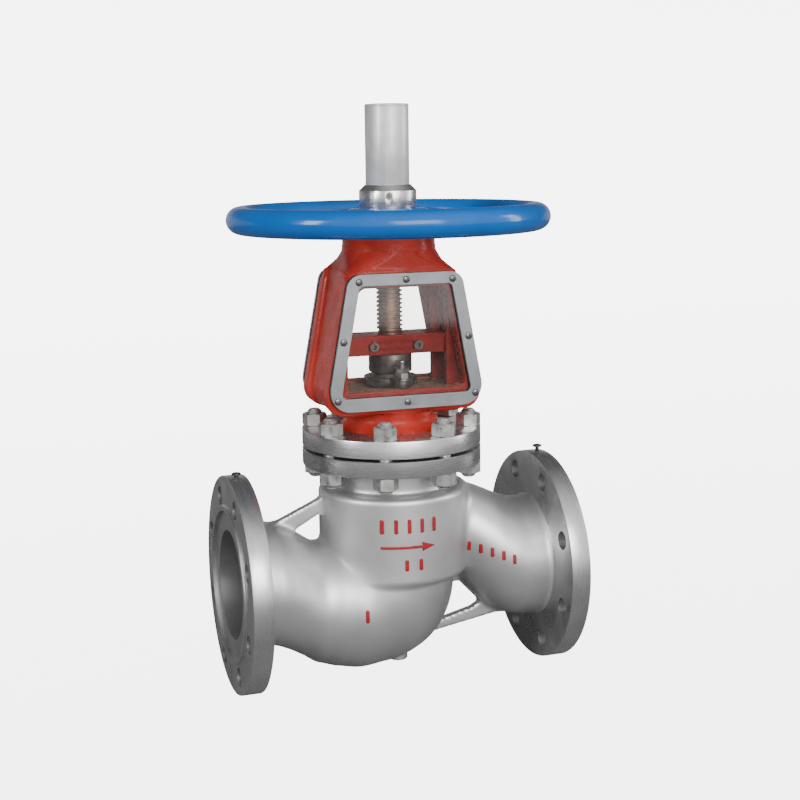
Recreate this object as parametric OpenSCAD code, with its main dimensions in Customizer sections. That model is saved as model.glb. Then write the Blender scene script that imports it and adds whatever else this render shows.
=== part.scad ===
// Flanged globe valve with a rising stem, a windowed dust-tight yoke and a handwheel.
// The pipe runs along X, flow goes from -X to +X, and the stem stands along Z.
// Heights named *_z are measured from the pipe axis; the origin is on the ground
// between the two end flanges.

/* [Pipe ends] */
// Distance between the two raised faces
face_to_face = 480; // [470:1:500]
// Outer diameter of each end flange
flange_d = 300; // [290:1:320]
// Thickness of each end flange, without its raised face
flange_t = 28; // [22:1:32]
// Pitch circle diameter of the flange holes
flange_pcd = 250; // [246:1:256]
// Diameter of each hole in the inlet flange
flange_hole_d = 26; // [18:1:28]
// How much wider the holes in the outlet flange are drilled
outlet_hole_extra = 0.4; // [0.4:0.1:1]
// Number of flange holes
flange_holes = 8; // [4:4:12]
// Diameter of the raised face
raised_d = 218; // [212:1:222]
// Height of the raised face
raised_h = 3; // [2:0.5:4]
// Diameter of the female recess in the raised face
recess_d = 204; // [196:1:208]
// Depth of the female recess
recess_h = 5; // [3:0.5:6]
// Diameter of the port
port_d = 150; // [140:1:154]

/* [Body casting] */
// Outer radius of the upper chamber
chamber_r = 104; // [102:1:106]
// Height of the top of the upper chamber
chamber_top_z = 123; // [118:1:126]
// Outer radius of the neck under the body flange
neck_r = 82; // [80:1:85]
// Outer radius of the lower bowl
bowl_r = 98; // [96:1:100]
// Thickness of the casting
wall = 13; // [10:1:14]
// Outer radius of the inlet and outlet necks
pipe_neck_r = 86; // [84:1:88]
// Thickness of the stiffening webs
web_t = 14; // [10:1:18]

/* [Bonnet joint] */
// Radius of the body flange and of the bonnet flange
bonnet_r = 125; // [125:1:130]
// Radius of the stud circle
stud_circle_r = 108; // [107:0.5:110]
// Number of studs
stud_count = 8; // [6:1:8]
// Diameter of each stud
stud_d = 20; // [16:1:20]
// Distance across the flats of a stud nut
stud_nut_af = 30; // [28:1:32]

/* [Yoke] */
// Half depth of the yoke box
yoke_y = 64; // [64:1:66]
// Half width of the yoke box at its waist
yoke_waist = 95; // [94:1:98]
// Lean of the yoke sides from the vertical, in degrees
yoke_lean = 10.5; // [10:0.1:11]
// Radius of the bearing hub on top of the yoke
hub_r = 64; // [60:1:68]

/* [Stem] */
// Diameter of the stem and of its trapezoidal thread
stem_d = 36; // [34:1:36]
// Travel of the stem from closed to open
stem_lift = 45; // [30:1:45]

/* [Handwheel] */
// Outer radius of the handwheel
wheel_r = 222.5; // [180:0.5:240]
// Radius of the rim's round section
rim_r = 18.5; // [14:0.5:20]
// Number of spokes
spoke_count = 5; // [3:1:8]
// Outer radius of the stem protection tube
tube_r = 30.15; // [29:0.05:32]

/* [Hidden] */
$fn = 96;
eps = 0.01;
line_fit = 0.02;
running = 0.05;
half_turn = 180 / stud_count;
// Turns each round surface's seam away from the middle plane, where others meet it
seam_turn = 55;

// Pipe ends
pipe_z = flange_d / 2;
end_x = face_to_face / 2;
rim_out_x = end_x - raised_h;
rim_in_x = rim_out_x - flange_t;
rim_mid_x = (rim_out_x + rim_in_x) / 2;
port_r = port_d / 2;

// Body casting
bridge_low_z = -8;
bridge_top_z = 14;
body_flange_low_z = 156;
body_flange_top_z = 178.5;
body_bore_r = 72;
chamber_void_r = chamber_r - wall - 1;
chamber_void_top_z = chamber_top_z - wall - 2;
bowl_x = -13.5;
bowl_z = -7.3;
// The bowl is this much deeper than it is wide
bowl_stretch = 1.2;
bowl_left = [-52, -40];
bowl_void_r = bowl_r - wall - 1;
inlet_knee = [-172, 0];
inlet_heel = [-122, -38];
outlet_shoulder = [68, 72];
outlet_knee = [170, 0];
inlet_slope_r = 77;
outlet_small_r = 56;
outlet_knee_r = 80;
joint_swell = 2;
// Necks and bowl are a little narrower across than they are high
neck_oval = 0.98;
bowl_facets = 32;
boss_x = 5;
boss_r = 14;
boss_low_z = -135;
boss_high_z = bowl_z - 70;
edge_round = 5;
shoulder_round = 8;
neck_flare = 4;
port_overrun = 30;
overrun = 1;
left_web = [[-188, 60], [-174, 78], [-100, 113], [-100, 30], [-150, 40]];
left_web_window = [[-150, 66], [-104, 90], [-109, 34]];
left_window_radii = [4, 7, 6];
right_web = [[40, -70], [48, -100], [65, -98], [161, -81], [150, -55], [100, -20], [60, -10]];
right_web_window = [[84, -22], [97, -22], [131, -63], [66, -81]];
right_window_radii = [3, 6, 7, 3];
mark_h = 1.6;
flow_arrow = [[-48, 55], [8, 55], [8, 50.5], [27, 57], [8, 63.5], [8, 59], [-48, 59]];
bar_w = 5.2;
long_bars = [-46, -28, -10, 8, 26];
long_bar_z = 76;
long_bar_h = 20;
short_bars = [-14, 6];
short_bar_z = 24;
short_bar_h = 16;
marks_low_z = 20;
marks_high_z = 110;

earthing_r = 3;
earthing_depth = 12;
earthing_head_r = 6.5;
earthing_head_h = 3.5;
inlet_screw_stand = 6.5;
outlet_screw_stand = 11;

// Seat and disc
seat_r = 60;
seat_chamfer = 2;
seat_lip = 2.5;
seat_ring_r = 68;
seat_low_z = 4;
seat_top_z = 16;
disc_r = 66;
disc_top_z = 30;
disc_boss_r = 34;
disc_boss_top_z = 56;
head_r = 22;
head_low_z = 25;
head_h = 8;
head_top_z = head_low_z + head_h + 0.1;
disc_nut_r = 24.9;
disc_nut_af = 50;

// Bonnet
gasket_top_z = 182.5;
bonnet_top_z = 206.5;
spigot_low_z = 170;
stud_r = stud_d / 2;
stud_gap = 1;
stud_tip = 2;
stud_nut_h = 17;
nut_chamfer = 2;
gasket_r = 94;
stud_low_z = 133;
stud_top_z = 229.5;
box_r = 28;
box_low_z = 212;
bush_r = 27.5;
bush_top_z = 200;
foot_r = 63.5;
foot_flare_r = 80;

// Yoke
waist_z = 340;
yoke_low_z = 234;
yoke_top_z = 428;
floor_z = 262;
ceiling_z = 412;
sill_z = 266;
lintel_z = 405;
lip_in_y = 42;
web_recess = 5;
shoulder_half = 78;
web_in = 10.5;
lip_w = 20;
rail_y = 25.6;
rail_t = 9;
rail_x = 71;
hub_top_z = 478;
housing_z = 431;
housing_r = 39;
cover_top_z = 484;

// Window
frame_low_z = 241;
frame_top_z = 425;
glass_low_z = 259;
glass_top_z = 409;
frame_border = 17;
seal_t = 2.5;
pane_t = 4;
frame_t = 4;
window_screw_r = 2.5;
window_head_r = 4.75;
window_head_h = 2.8;
window_screw_in = 6;
window_half = [[66, 415], [88.5, 336], [98, 257]];
window_middle = [[0, 416.5], [0, 250.5]];

// Gland
ring_count = 5;
ring_h = 8;
ring_gap = 0.2;
follower_low_z = box_low_z + ring_count * (ring_h + ring_gap);
follower_step_z = 266;
follower_top_z = 282;
gland_top_z = 277;
gland_stud_y = 51;
gland_stud_r = 6;
gland_stud_low_z = 242;
gland_stud_top_z = 305;
gland_nut_af = 18;
gland_washer_h = 2;
gland_nut_h = 9;
gland_lock_h = 6;
gland_flange_r = 37;
gland_lug_r = 11.4;
gland_washer_r = 11;

// Stem, guide, bearings and handwheel
stem_r = stem_d / 2;
stem_top_z = 590;
collar_low_z = 118;
collar_z = 125;
collar_rise = 6;
backseat_r = 24;
hub_low_z = 283;
guide_low_z = 309;
guide_top_z = 336;
guide_y = 25;
guide_low_half = 80;
guide_top_half = 76;
guide_screw = [32, 321];
guide_hub_r = 30;
guide_screw_r = 4;
guide_head_r = 6.5;
guide_head_h = 6;
guide_key_r = 3.4;
washer_t = 5;
ball_r = 4.5;
ball_pitch_r = 32;
ball_count = 14;
bearing_h = 16;
cage_h = 4.4;
cage_half = 5.6;
cover_screw_r = 3;
cover_screw_circle = 50;
nut_flange_z = housing_z + bearing_h;
nut_flange_h = 10;
nut_flange_r = 34;
upper_bearing_z = nut_flange_z + nut_flange_h;
sleeve_r = 25;
shank_r = 22;
wheel_low_z = 486;
wheel_top_z = 509;
wheel_z = 496;
wheel_hub_r = 57;
spoke_r = 9.5;
tube_collar_r = 39.5;
tube_collar_top_z = 541;
collar_chamfer = 8;
setscrew_z = 526;
setscrew_turn = -106;
setscrew_r = 4;
tube_low_z = 535;
tube_top_z = 647;
tube_wall = 3;
cap_top_z = 650;
key_w = 10;
key_h = 8;

// ---- Helpers ----

// Half width of the yoke side line at height z
function half_w(z) = yoke_waist + (waist_z - z) * tan(yoke_lean);

// Signed turn from angle a to angle b, within half a revolution
function turn(a, b) = let (d = b - a) d > 180 ? d - 360 : d < -180 ? d + 360 : d;

// Arc that rounds corner p between points a and b
function corner(a, p, b, r, steps) =
    let (
        u = (a - p) / norm(a - p),
        v = (b - p) / norm(b - p),
        half = acos(u * v) / 2,
        mid = (u + v) / norm(u + v),
        c = p + mid * r / sin(half),
        s = p + u * r / tan(half) - c,
        e = p + v * r / tan(half) - c,
        from = atan2(s[1], s[0]),
        sweep = turn(from, atan2(e[1], e[0]))
    )
    [for (i = [0:steps]) c + r * [cos(from + sweep * i / steps), sin(from + sweep * i / steps)]];

// Closed outline with every corner rounded by its own radius
function rounded(points, radii, steps = 8) =
    let (n = len(points))
    [
        for (i = [0:n - 1])
            each corner(points[(i + n - 1) % n], points[i], points[(i + 1) % n], radii[i], steps)
    ];

// Outline of the yoke front, set in from the outer line
function yoke_outline(inset, low, high, r_low, r_high) =
    let (side = inset / cos(yoke_lean))
    rounded(
        [
            [half_w(low) - side, low], [half_w(high) - side, high],
            [side - half_w(high), high], [side - half_w(low), low]
        ],
        [r_low, r_high, r_high, r_low]
    );

module at_axis() translate([0, 0, pipe_z]) children();
module flipped(s) mirror([s < 0 ? 1 : 0, 0, 0]) children();
module both_ends() for (s = [-1, 1]) flipped(s) children();
module ring(r_out, r_in, low, high) translate([0, 0, low]) difference() {
    cylinder(r = r_out, h = high - low);
    translate([0, 0, -eps]) cylinder(r = r_in, h = high - low + 2 * eps);
}
module rod(r, low, high) translate([0, 0, low]) cylinder(r = r, h = high - low);
module x_rod(r, low, high) translate([low, 0, 0]) rotate([0, 90, 0]) cylinder(r = r, h = high - low);
module hex_rod(af, low, high) translate([0, 0, low]) cylinder(r = af / sqrt(3), h = high - low, $fn = 6);
module around(count, r, first = 0)
    for (i = [0:count - 1]) rotate(first + i * 360 / count) translate([r, 0, 0]) children();
module slab(y_low, y_high)
    translate([0, y_high, 0]) rotate([90, 0, 0]) linear_extrude(y_high - y_low) children();

// Cone along the line from p to q in the XZ plane
module neck_cone(p, q, r_p, r_q)
    translate([p[0], 0, p[1]])
        rotate([0, 90 - atan2(q[1] - p[1], q[0] - p[0]), 0])
            rotate(seam_turn) cylinder(r1 = r_p, r2 = r_q, h = norm(q - p));
module ball_at(p, r) translate([p[0], 0, p[1]]) rotate([90, 0, 0]) rotate(-seam_turn) sphere(r = r);
module bowl(r, stretch) translate([bowl_x, 0, bowl_z]) scale([1, 1, stretch]) ball_at([0, 0], r);

// ---- Body ----

module end_flange() {
    x_rod(flange_d / 2, rim_in_x, rim_out_x);
    x_rod(raised_d / 2, rim_out_x - eps, end_x);
}

module end_openings() {
    x_rod(port_r, outlet_knee[0] + joint_swell, end_x + port_overrun);
    x_rod(recess_d / 2, end_x - recess_h, end_x + overrun);
}
module flange_drilling(hole_d)
    for (i = [0:flange_holes - 1])
        rotate([(i + 0.5) * 360 / flange_holes, 0, 0])
            translate([0, 0, flange_pcd / 2]) x_rod(hole_d / 2, rim_in_x - overrun, end_x + overrun);

// Chamber, neck and top flange of the body as one turned outline
module chamber_outside()
    rotate_extrude()
        polygon([
            [0, 0], [chamber_r - edge_round, 0], [chamber_r, edge_round],
            [chamber_r, chamber_top_z - shoulder_round], [chamber_r - shoulder_round, chamber_top_z],
            [neck_r + neck_flare, chamber_top_z + 1], [neck_r, chamber_top_z + edge_round],
            [neck_r, body_flange_low_z - neck_flare], [neck_r + neck_flare, body_flange_low_z],
            [bonnet_r, body_flange_low_z], [bonnet_r, body_flange_top_z], [0, body_flange_top_z]
        ]);

// Each bend is a ball on the two centre lines that meet there, a little proud of its necks
module passages_outside() resize([0, 2 * neck_oval * bowl_r, 0]) {
    $fn = bowl_facets;
    bowl(bowl_r, bowl_stretch);
    ball_at(bowl_left, bowl_r - 3);
    neck_cone(inlet_heel, bowl_left, inlet_slope_r, bowl_r - 4);
    ball_at(inlet_heel, inlet_slope_r + joint_swell);
    neck_cone(inlet_knee, inlet_heel, inlet_slope_r, inlet_slope_r);
    ball_at(inlet_knee, pipe_neck_r + joint_swell);
    x_rod(pipe_neck_r, -rim_in_x - overrun, inlet_knee[0]);
    neck_cone(outlet_shoulder, outlet_knee, outlet_small_r, outlet_knee_r);
    ball_at(outlet_knee, pipe_neck_r + joint_swell);
    x_rod(pipe_neck_r, outlet_knee[0], rim_in_x + overrun);
}

// Space under the seat: inlet neck and bowl, kept clear of the upper chamber
module lower_void() resize([0, 2 * neck_oval * bowl_void_r, 0]) difference() {
    $fn = bowl_facets;
    union() {
        bowl(bowl_void_r, bowl_stretch);
        ball_at(bowl_left, bowl_void_r - 3);
        neck_cone(inlet_heel, bowl_left, inlet_slope_r - wall, bowl_void_r - 4);
        ball_at(inlet_heel, inlet_slope_r - wall + joint_swell);
        neck_cone(inlet_knee, inlet_heel, inlet_slope_r - wall, inlet_slope_r - wall);
        ball_at(inlet_knee, port_r + joint_swell);
    }
    rod(chamber_r - 2, bridge_low_z, chamber_top_z);
}

// Space over the seat: upper chamber and outlet neck, kept clear of the bowl
module upper_void() resize([0, 2 * neck_oval * (port_r + joint_swell), 0]) difference() {
    $fn = bowl_facets;
    union() {
        neck_cone(outlet_shoulder, outlet_knee, outlet_small_r - wall, outlet_knee_r - wall);
        ball_at(outlet_knee, port_r + joint_swell);
    }
    bowl(bowl_void_r + wall, bowl_stretch);
    rod(chamber_r, -bowl_r, bridge_top_z);
}

// Flat stiffening webs in the plane of the pipe and stem, each with one window
module webs() slab(-web_t / 2, web_t / 2) {
    difference() {
        polygon(left_web);
        polygon(rounded(left_web_window, left_window_radii));
    }
    difference() {
        polygon(right_web);
        polygon(rounded(right_web_window, right_window_radii));
    }
}

// Raised flow arrow and blank index bars on the front of the chamber
module cast_marks() intersection() {
    rod(chamber_r + mark_h, marks_low_z, marks_high_z);
    slab(-chamber_r - 2 * mark_h, -chamber_r / 2) {
        polygon(flow_arrow);
        for (x = long_bars) translate([x - bar_w / 2, long_bar_z]) square([bar_w, long_bar_h]);
        for (x = short_bars) translate([x - bar_w / 2, short_bar_z]) square([bar_w, short_bar_h]);
    }
}

module valve_body() color("silver") at_axis() difference() {
    union() {
        chamber_outside();
        passages_outside();
        both_ends() end_flange();
        webs();
        translate([boss_x, 0, 0]) rod(boss_r, boss_low_z, boss_high_z);
        cast_marks();
    }
    lower_void();
    upper_void();
    rod(chamber_void_r, bridge_top_z, chamber_void_top_z);
    both_ends() end_openings();
    flipped(-1) flange_drilling(flange_hole_d);
    flange_drilling(flange_hole_d + outlet_hole_extra);
    rod(body_bore_r, chamber_void_top_z - 1, body_flange_top_z + 1);
    rod(seat_r + 1, bridge_low_z - 1, seat_low_z);
    rod(seat_ring_r, seat_low_z, bridge_top_z + 1);
    around(stud_count, stud_circle_r, half_turn)
        rod(stud_r + stud_gap, body_flange_low_z - overrun, body_flange_top_z + overrun);
    for (s = [-1, 1])
        translate([s * rim_mid_x, 0, 0])
            rod(earthing_r + line_fit, flange_d / 2 - earthing_depth - 2, flange_d / 2 + overrun);
}

module seat_ring() color("gainsboro") at_axis() difference() {
    ring(seat_ring_r, seat_r, seat_low_z, seat_top_z);
    translate([0, 0, seat_top_z - seat_chamfer])
        cylinder(r1 = seat_r, r2 = seat_r + seat_lip, h = seat_chamfer + eps);
}

module earthing_screw(stand) {
    rod(earthing_r, flange_d / 2 - earthing_depth, flange_d / 2 + stand - overrun);
    rod(earthing_head_r, flange_d / 2 + stand - earthing_head_h, flange_d / 2 + stand);
}
module earthing_screws() color("dimgray") at_axis() {
    translate([-rim_mid_x, 0, 0]) earthing_screw(inlet_screw_stand);
    translate([rim_mid_x, 0, 0]) earthing_screw(outlet_screw_stand);
}

// ---- Bonnet ----

module bonnet_gasket() color("black") at_axis()
    ring(gasket_r, body_bore_r + 1, body_flange_top_z, gasket_top_z);

module bonnet_foot()
    rotate_extrude()
        polygon([
            [0, bonnet_top_z - 1], [foot_flare_r, bonnet_top_z - 1], [foot_flare_r, bonnet_top_z],
            [foot_flare_r - 8, bonnet_top_z + 3], [foot_flare_r - 13, bonnet_top_z + 8],
            [foot_r, bonnet_top_z + 16], [foot_r, yoke_low_z + 6], [0, yoke_low_z + 6]
        ]);

module yoke_box() {
    slab(-yoke_y, -lip_in_y) polygon(yoke_outline(0, yoke_low_z, yoke_top_z, 30, 20));
    slab(lip_in_y, yoke_y) polygon(yoke_outline(0, yoke_low_z, yoke_top_z, 30, 20));
    slab(-lip_in_y - 1, lip_in_y + 1)
        polygon(yoke_outline(web_recess, yoke_low_z - 2, yoke_top_z, 34, 16));
    intersection() {
        slab(-yoke_y, yoke_y)
            polygon([
                [-shoulder_half, yoke_top_z - 4], [shoulder_half, yoke_top_z - 4],
                [hub_r + 2, yoke_top_z + 22], [-hub_r - 2, yoke_top_z + 22]
            ]);
        translate([0, 0, yoke_top_z - 5]) linear_extrude(28)
            polygon(rounded(
                [
                    for (c = [[-1, -1], [1, -1], [1, 1], [-1, 1]])
                        [c[0] * (shoulder_half + 1), c[1] * (yoke_y - 0.5)]
                ],
                [36, 36, 36, 36]
            ));
    }
    rod(hub_r, yoke_top_z - 10, hub_top_z);
}

// Space inside the yoke, with upright rails that keep the guide bar from turning
module yoke_inside() difference() {
    union() {
        slab(-yoke_y - 1, yoke_y + 1) polygon(yoke_outline(lip_w, sill_z, lintel_z, 12, 10));
        slab(-lip_in_y, lip_in_y) polygon(yoke_outline(web_in, floor_z, ceiling_z, 12, 10));
    }
    for (sx = [-1, 1], sy = [-1, 1])
        flipped(sx) translate([rail_x, sy * (rail_y + rail_t / 2) - rail_t / 2, floor_z - 1])
            cube([60, rail_t, ceiling_z - floor_z + 2]);
}

module window_places() {
    for (s = [-1, 1], p = window_half) translate([s * p[0], p[1]]) children();
    for (p = window_middle) translate(p) children();
}

module bonnet_yoke() color("orangered") at_axis() difference() {
    union() {
        rod(bonnet_r, gasket_top_z, bonnet_top_z);
        rod(body_bore_r - 2 * running, spigot_low_z, gasket_top_z + 1);
        bonnet_foot();
        yoke_box();
    }
    yoke_inside();
    rod(bush_r, spigot_low_z - 1, bush_top_z);
    rod(stem_r + 1, bush_top_z - 1, box_low_z + 1);
    rod(box_r, box_low_z, floor_z + 1);
    rod(sleeve_r + 1, ceiling_z - 1, housing_z + 1);
    rod(housing_r + running, housing_z, hub_top_z + 1);
    around(stud_count, stud_circle_r, half_turn) rod(stud_r + 1, gasket_top_z - 1, bonnet_top_z + 1);
    around(2, gland_stud_y, 90) rod(gland_stud_r + line_fit, gland_stud_low_z, sill_z + 1);
    around(4, cover_screw_circle, 45) rod(cover_screw_r + line_fit, hub_top_z - 12, hub_top_z + 1);
    for (y = [-yoke_y - 1, yoke_y - window_screw_in])
        slab(y, y + window_screw_in + 1) window_places() circle(r = window_screw_r + line_fit, $fn = 24);
}

module backseat_bush() color("goldenrod") at_axis() difference() {
    ring(bush_r, stem_r + running, spigot_low_z, bush_top_z);
    translate([0, 0, spigot_low_z - eps])
        cylinder(r1 = backseat_r + 0.2, r2 = stem_r + 0.15, h = collar_rise + 0.1);
}

module bonnet_studs() color("darkgray") at_axis()
    around(stud_count, stud_circle_r, half_turn) {
        rod(stud_r, stud_low_z + stud_tip, stud_top_z - stud_tip);
        translate([0, 0, stud_top_z - stud_tip]) cylinder(r1 = stud_r, r2 = stud_r - stud_tip, h = stud_tip);
        translate([0, 0, stud_low_z]) cylinder(r1 = stud_r - stud_tip, r2 = stud_r, h = stud_tip);
    }

module stud_nut(low) difference() {
    flat_r = stud_nut_af / 2;
    full_r = flat_r + 3;
    high = low + stud_nut_h;
    intersection() {
        hex_rod(stud_nut_af, low, high);
        union() {
            translate([0, 0, low]) cylinder(r1 = flat_r, r2 = full_r, h = nut_chamfer);
            rod(full_r, low + nut_chamfer, high - nut_chamfer);
            translate([0, 0, high - nut_chamfer]) cylinder(r1 = full_r, r2 = flat_r, h = nut_chamfer);
        }
    }
    rod(stud_r + line_fit, low - 1, low + stud_nut_h + 1);
}
module bonnet_nuts_upper() color("lightgray") at_axis()
    around(stud_count, stud_circle_r, half_turn) stud_nut(bonnet_top_z);
module bonnet_nuts_lower() color("lightgray") at_axis()
    around(stud_count, stud_circle_r, half_turn) stud_nut(body_flange_low_z - stud_nut_h);

// ---- Gland ----

module packing_rings() color("dimgray") at_axis()
    for (i = [0:ring_count - 1])
        translate([0, 0, box_low_z + i * (ring_h + ring_gap)]) ring(box_r, stem_r + running, 0, ring_h);

module gland_follower() color("darkgray") at_axis() difference() {
    union() {
        rod(box_r - 2 * running, follower_low_z, follower_step_z);
        rod(box_r - 1.5, follower_step_z - 1, follower_top_z);
    }
    rod(stem_r + 2 * running, follower_low_z - 1, follower_top_z + 1);
}

module gland_flange() color("gray") at_axis() difference() {
    union() {
        rod(gland_flange_r, follower_step_z, gland_top_z);
        translate([-gland_washer_r, -gland_stud_y, follower_step_z])
            cube([2 * gland_washer_r, 2 * gland_stud_y, gland_top_z - follower_step_z]);
        around(2, gland_stud_y, 90) rod(gland_lug_r, follower_step_z, gland_top_z);
    }
    rod(box_r - 1.4, follower_step_z - 1, gland_top_z + 1);
    around(2, gland_stud_y, 90) rod(gland_stud_r + 1, follower_step_z - 1, gland_top_z + 1);
}

module gland_studs() color("darkgray") at_axis()
    around(2, gland_stud_y, 90) rod(gland_stud_r, gland_stud_low_z, gland_stud_top_z);

module gland_washers() color("silver") at_axis()
    around(2, gland_stud_y, 90)
        ring(gland_washer_r, gland_stud_r + 0.4, gland_top_z, gland_top_z + gland_washer_h);

module gland_nut(low, high) difference() {
    hex_rod(gland_nut_af, low, high);
    rod(gland_stud_r + line_fit, low - 1, high + 1);
}
module gland_nuts() color("lightgray") at_axis()
    around(2, gland_stud_y, 90)
        gland_nut(gland_top_z + gland_washer_h, gland_top_z + gland_washer_h + gland_nut_h);
module gland_lock_nuts() color("lightgray") at_axis()
    around(2, gland_stud_y, 90)
        gland_nut(
            gland_top_z + gland_washer_h + gland_nut_h,
            gland_top_z + gland_washer_h + gland_nut_h + gland_lock_h
        );

// ---- Windows, drawn for the rear (+Y) side and mirrored for the front ----

module front() mirror([0, 1, 0]) children();

module window_gasket() slab(yoke_y, yoke_y + seal_t) difference() {
    polygon(yoke_outline(0, frame_low_z, frame_top_z, 28, 20));
    polygon(yoke_outline(frame_border, glass_low_z, glass_top_z, 7, 7));
    window_places() circle(r = window_screw_r + 0.25, $fn = 24);
}
module window_pane() slab(yoke_y + seal_t, yoke_y + seal_t + pane_t) difference() {
    polygon(yoke_outline(0.6, frame_low_z + 0.6, frame_top_z - 0.6, 27, 19));
    window_places() circle(r = window_screw_r + 0.25, $fn = 24);
}
module window_frame() slab(yoke_y + seal_t + pane_t, yoke_y + seal_t + pane_t + frame_t) difference() {
    polygon(yoke_outline(0, frame_low_z, frame_top_z, 28, 20));
    polygon(yoke_outline(frame_border, glass_low_z, glass_top_z, 7, 7));
    window_places() circle(r = window_screw_r + 0.25, $fn = 24);
}
module window_screws() {
    slab(yoke_y - window_screw_in, yoke_y + seal_t + pane_t + frame_t + 1)
        window_places() circle(r = window_screw_r, $fn = 24);
    slab(yoke_y + seal_t + pane_t + frame_t, yoke_y + seal_t + pane_t + frame_t + window_head_h)
        window_places() circle(r = window_head_r, $fn = 24);
}

module window_gasket_front() color("black") at_axis() front() window_gasket();
module window_gasket_rear() color("black") at_axis() window_gasket();
module window_pane_front() color("lightcyan", 0.35) at_axis() front() window_pane();
module window_pane_rear() color("lightcyan", 0.35) at_axis() window_pane();
module window_frame_front() color("lightslategray") at_axis() front() window_frame();
module window_frame_rear() color("lightslategray") at_axis() window_frame();
module window_screws_front() color("gray") at_axis() front() window_screws();
module window_screws_rear() color("gray") at_axis() window_screws();

// ---- Thrust bearings ----

module raceway(z)
    translate([0, 0, z]) rotate_extrude() translate([ball_pitch_r, 0]) circle(r = ball_r + running, $fn = 32);
module housing_washer(low, ball_z) difference() {
    ring(housing_r, sleeve_r + 0.6, low, low + washer_t);
    raceway(ball_z);
}
module shaft_washer(low, ball_z) difference() {
    ring(housing_r - 0.6, sleeve_r + line_fit, low, low + washer_t);
    raceway(ball_z);
}
module ball_cage(ball_z) difference() {
    ring(ball_pitch_r + cage_half, ball_pitch_r - cage_half, ball_z - cage_h / 2, ball_z + cage_h / 2);
    around(ball_count, ball_pitch_r) rod(ball_r + 2 * running, ball_z - cage_h, ball_z + cage_h, $fn = 32);
}
module ball_set(ball_z)
    around(ball_count, ball_pitch_r) translate([0, 0, ball_z]) sphere(r = ball_r, $fn = 32);

lower_ball_z = housing_z + bearing_h / 2;
upper_ball_z = upper_bearing_z + bearing_h / 2;
module lower_housing_washer() color("silver") at_axis() housing_washer(housing_z, lower_ball_z);
module lower_shaft_washer() color("silver") at_axis() shaft_washer(nut_flange_z - washer_t, lower_ball_z);
module lower_cage() color("peru") at_axis() ball_cage(lower_ball_z);
module lower_balls() color("white") at_axis() ball_set(lower_ball_z);
module upper_housing_washer() color("silver") at_axis()
    housing_washer(upper_bearing_z + bearing_h - washer_t, upper_ball_z);
module upper_shaft_washer() color("silver") at_axis() shaft_washer(upper_bearing_z, upper_ball_z);
module upper_cage() color("peru") at_axis() ball_cage(upper_ball_z);
module upper_balls() color("white") at_axis() ball_set(upper_ball_z);

module bearing_cover() color("dimgray") at_axis() difference() {
    union() {
        rod(hub_r - 1, hub_top_z, cover_top_z);
        rod(housing_r - running, upper_bearing_z + bearing_h, hub_top_z + 1);
    }
    rod(sleeve_r + 1.5, upper_bearing_z, cover_top_z + 1);
    around(4, cover_screw_circle, 45) rod(cover_screw_r + 0.4, hub_top_z - 1, cover_top_z + 1);
}

// ---- Stem, guide and disc ----

module stem() color("saddlebrown") at_axis() {
    rod(head_r, head_low_z, head_low_z + head_h);
    rod(stem_r, head_low_z + head_h - 1, stem_top_z - 3);
    rod(backseat_r, collar_low_z, collar_z);
    translate([0, 0, collar_z - eps]) cylinder(r1 = backseat_r, r2 = stem_r, h = collar_rise);
    translate([0, 0, stem_top_z - 3 - eps]) cylinder(r1 = stem_r, r2 = stem_r - 3, h = 3);
}

module guide_hub() color("dimgray") at_axis() ring(guide_hub_r, stem_r + line_fit, hub_low_z, guide_low_z);

module guide_half() difference() {
    slab(0.5, guide_y)
        polygon([
            [-guide_low_half, guide_low_z], [guide_low_half, guide_low_z],
            [guide_top_half, guide_top_z], [-guide_top_half, guide_top_z]
        ]);
    rod(stem_r + line_fit, guide_low_z - 1, guide_top_z + 1);
}
module guide_bores(r, y_low, y_high)
    for (s = [-1, 1])
        slab(y_low, y_high) translate([s * guide_screw[0], guide_screw[1]]) circle(r = r, $fn = 32);
module guide_clamp_front() color("firebrick") at_axis() difference() {
    front() guide_half();
    guide_bores(guide_screw_r + 0.5, -guide_y - 1, 0);
}
module guide_clamp_rear() color("firebrick") at_axis() difference() {
    guide_half();
    guide_bores(guide_screw_r + line_fit, 0, guide_y - 4);
}
module guide_screws() color("dimgray") at_axis() {
    guide_bores(guide_screw_r, -guide_y - 1, guide_y - 5);
    difference() {
        guide_bores(guide_head_r, -guide_y - guide_head_h, -guide_y);
        for (s = [-1, 1])
            slab(-guide_y - guide_head_h - 1, -guide_y - 2)
                translate([s * guide_screw[0], guide_screw[1]]) circle(r = guide_key_r, $fn = 6);
    }
}

module disc() color("gainsboro") at_axis() difference() {
    union() {
        rod(disc_r, seat_top_z, disc_top_z);
        rod(seat_r - 1, seat_top_z - 5, seat_top_z + 1);
        rod(disc_boss_r, disc_top_z - 1, disc_boss_top_z);
    }
    rod(head_r + running, head_low_z, head_top_z);
    rod(disc_nut_r + line_fit, head_top_z, disc_boss_top_z + 1);
}

module disc_nut() color("darkgray") at_axis() difference() {
    union() {
        rod(disc_nut_r, head_top_z, disc_boss_top_z + 1);
        hex_rod(disc_nut_af, disc_boss_top_z, disc_boss_top_z + 8);
    }
    rod(stem_r + running, head_low_z, disc_boss_top_z + 9);
}

// ---- Stem nut and handwheel ----

module key_slot()
    translate([shank_r - key_h / 2, -key_w / 2, wheel_low_z + 1])
        cube([key_h, key_w, wheel_top_z - wheel_low_z - 2]);

module stem_nut() color("darkgoldenrod") at_axis() difference() {
    union() {
        rod(sleeve_r, ceiling_z + 4, wheel_low_z);
        rod(nut_flange_r, nut_flange_z, nut_flange_z + nut_flange_h);
        rod(shank_r, wheel_low_z - 1, tube_low_z - 1);
    }
    rod(stem_r + running, ceiling_z, tube_low_z);
    key_slot();
}

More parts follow.
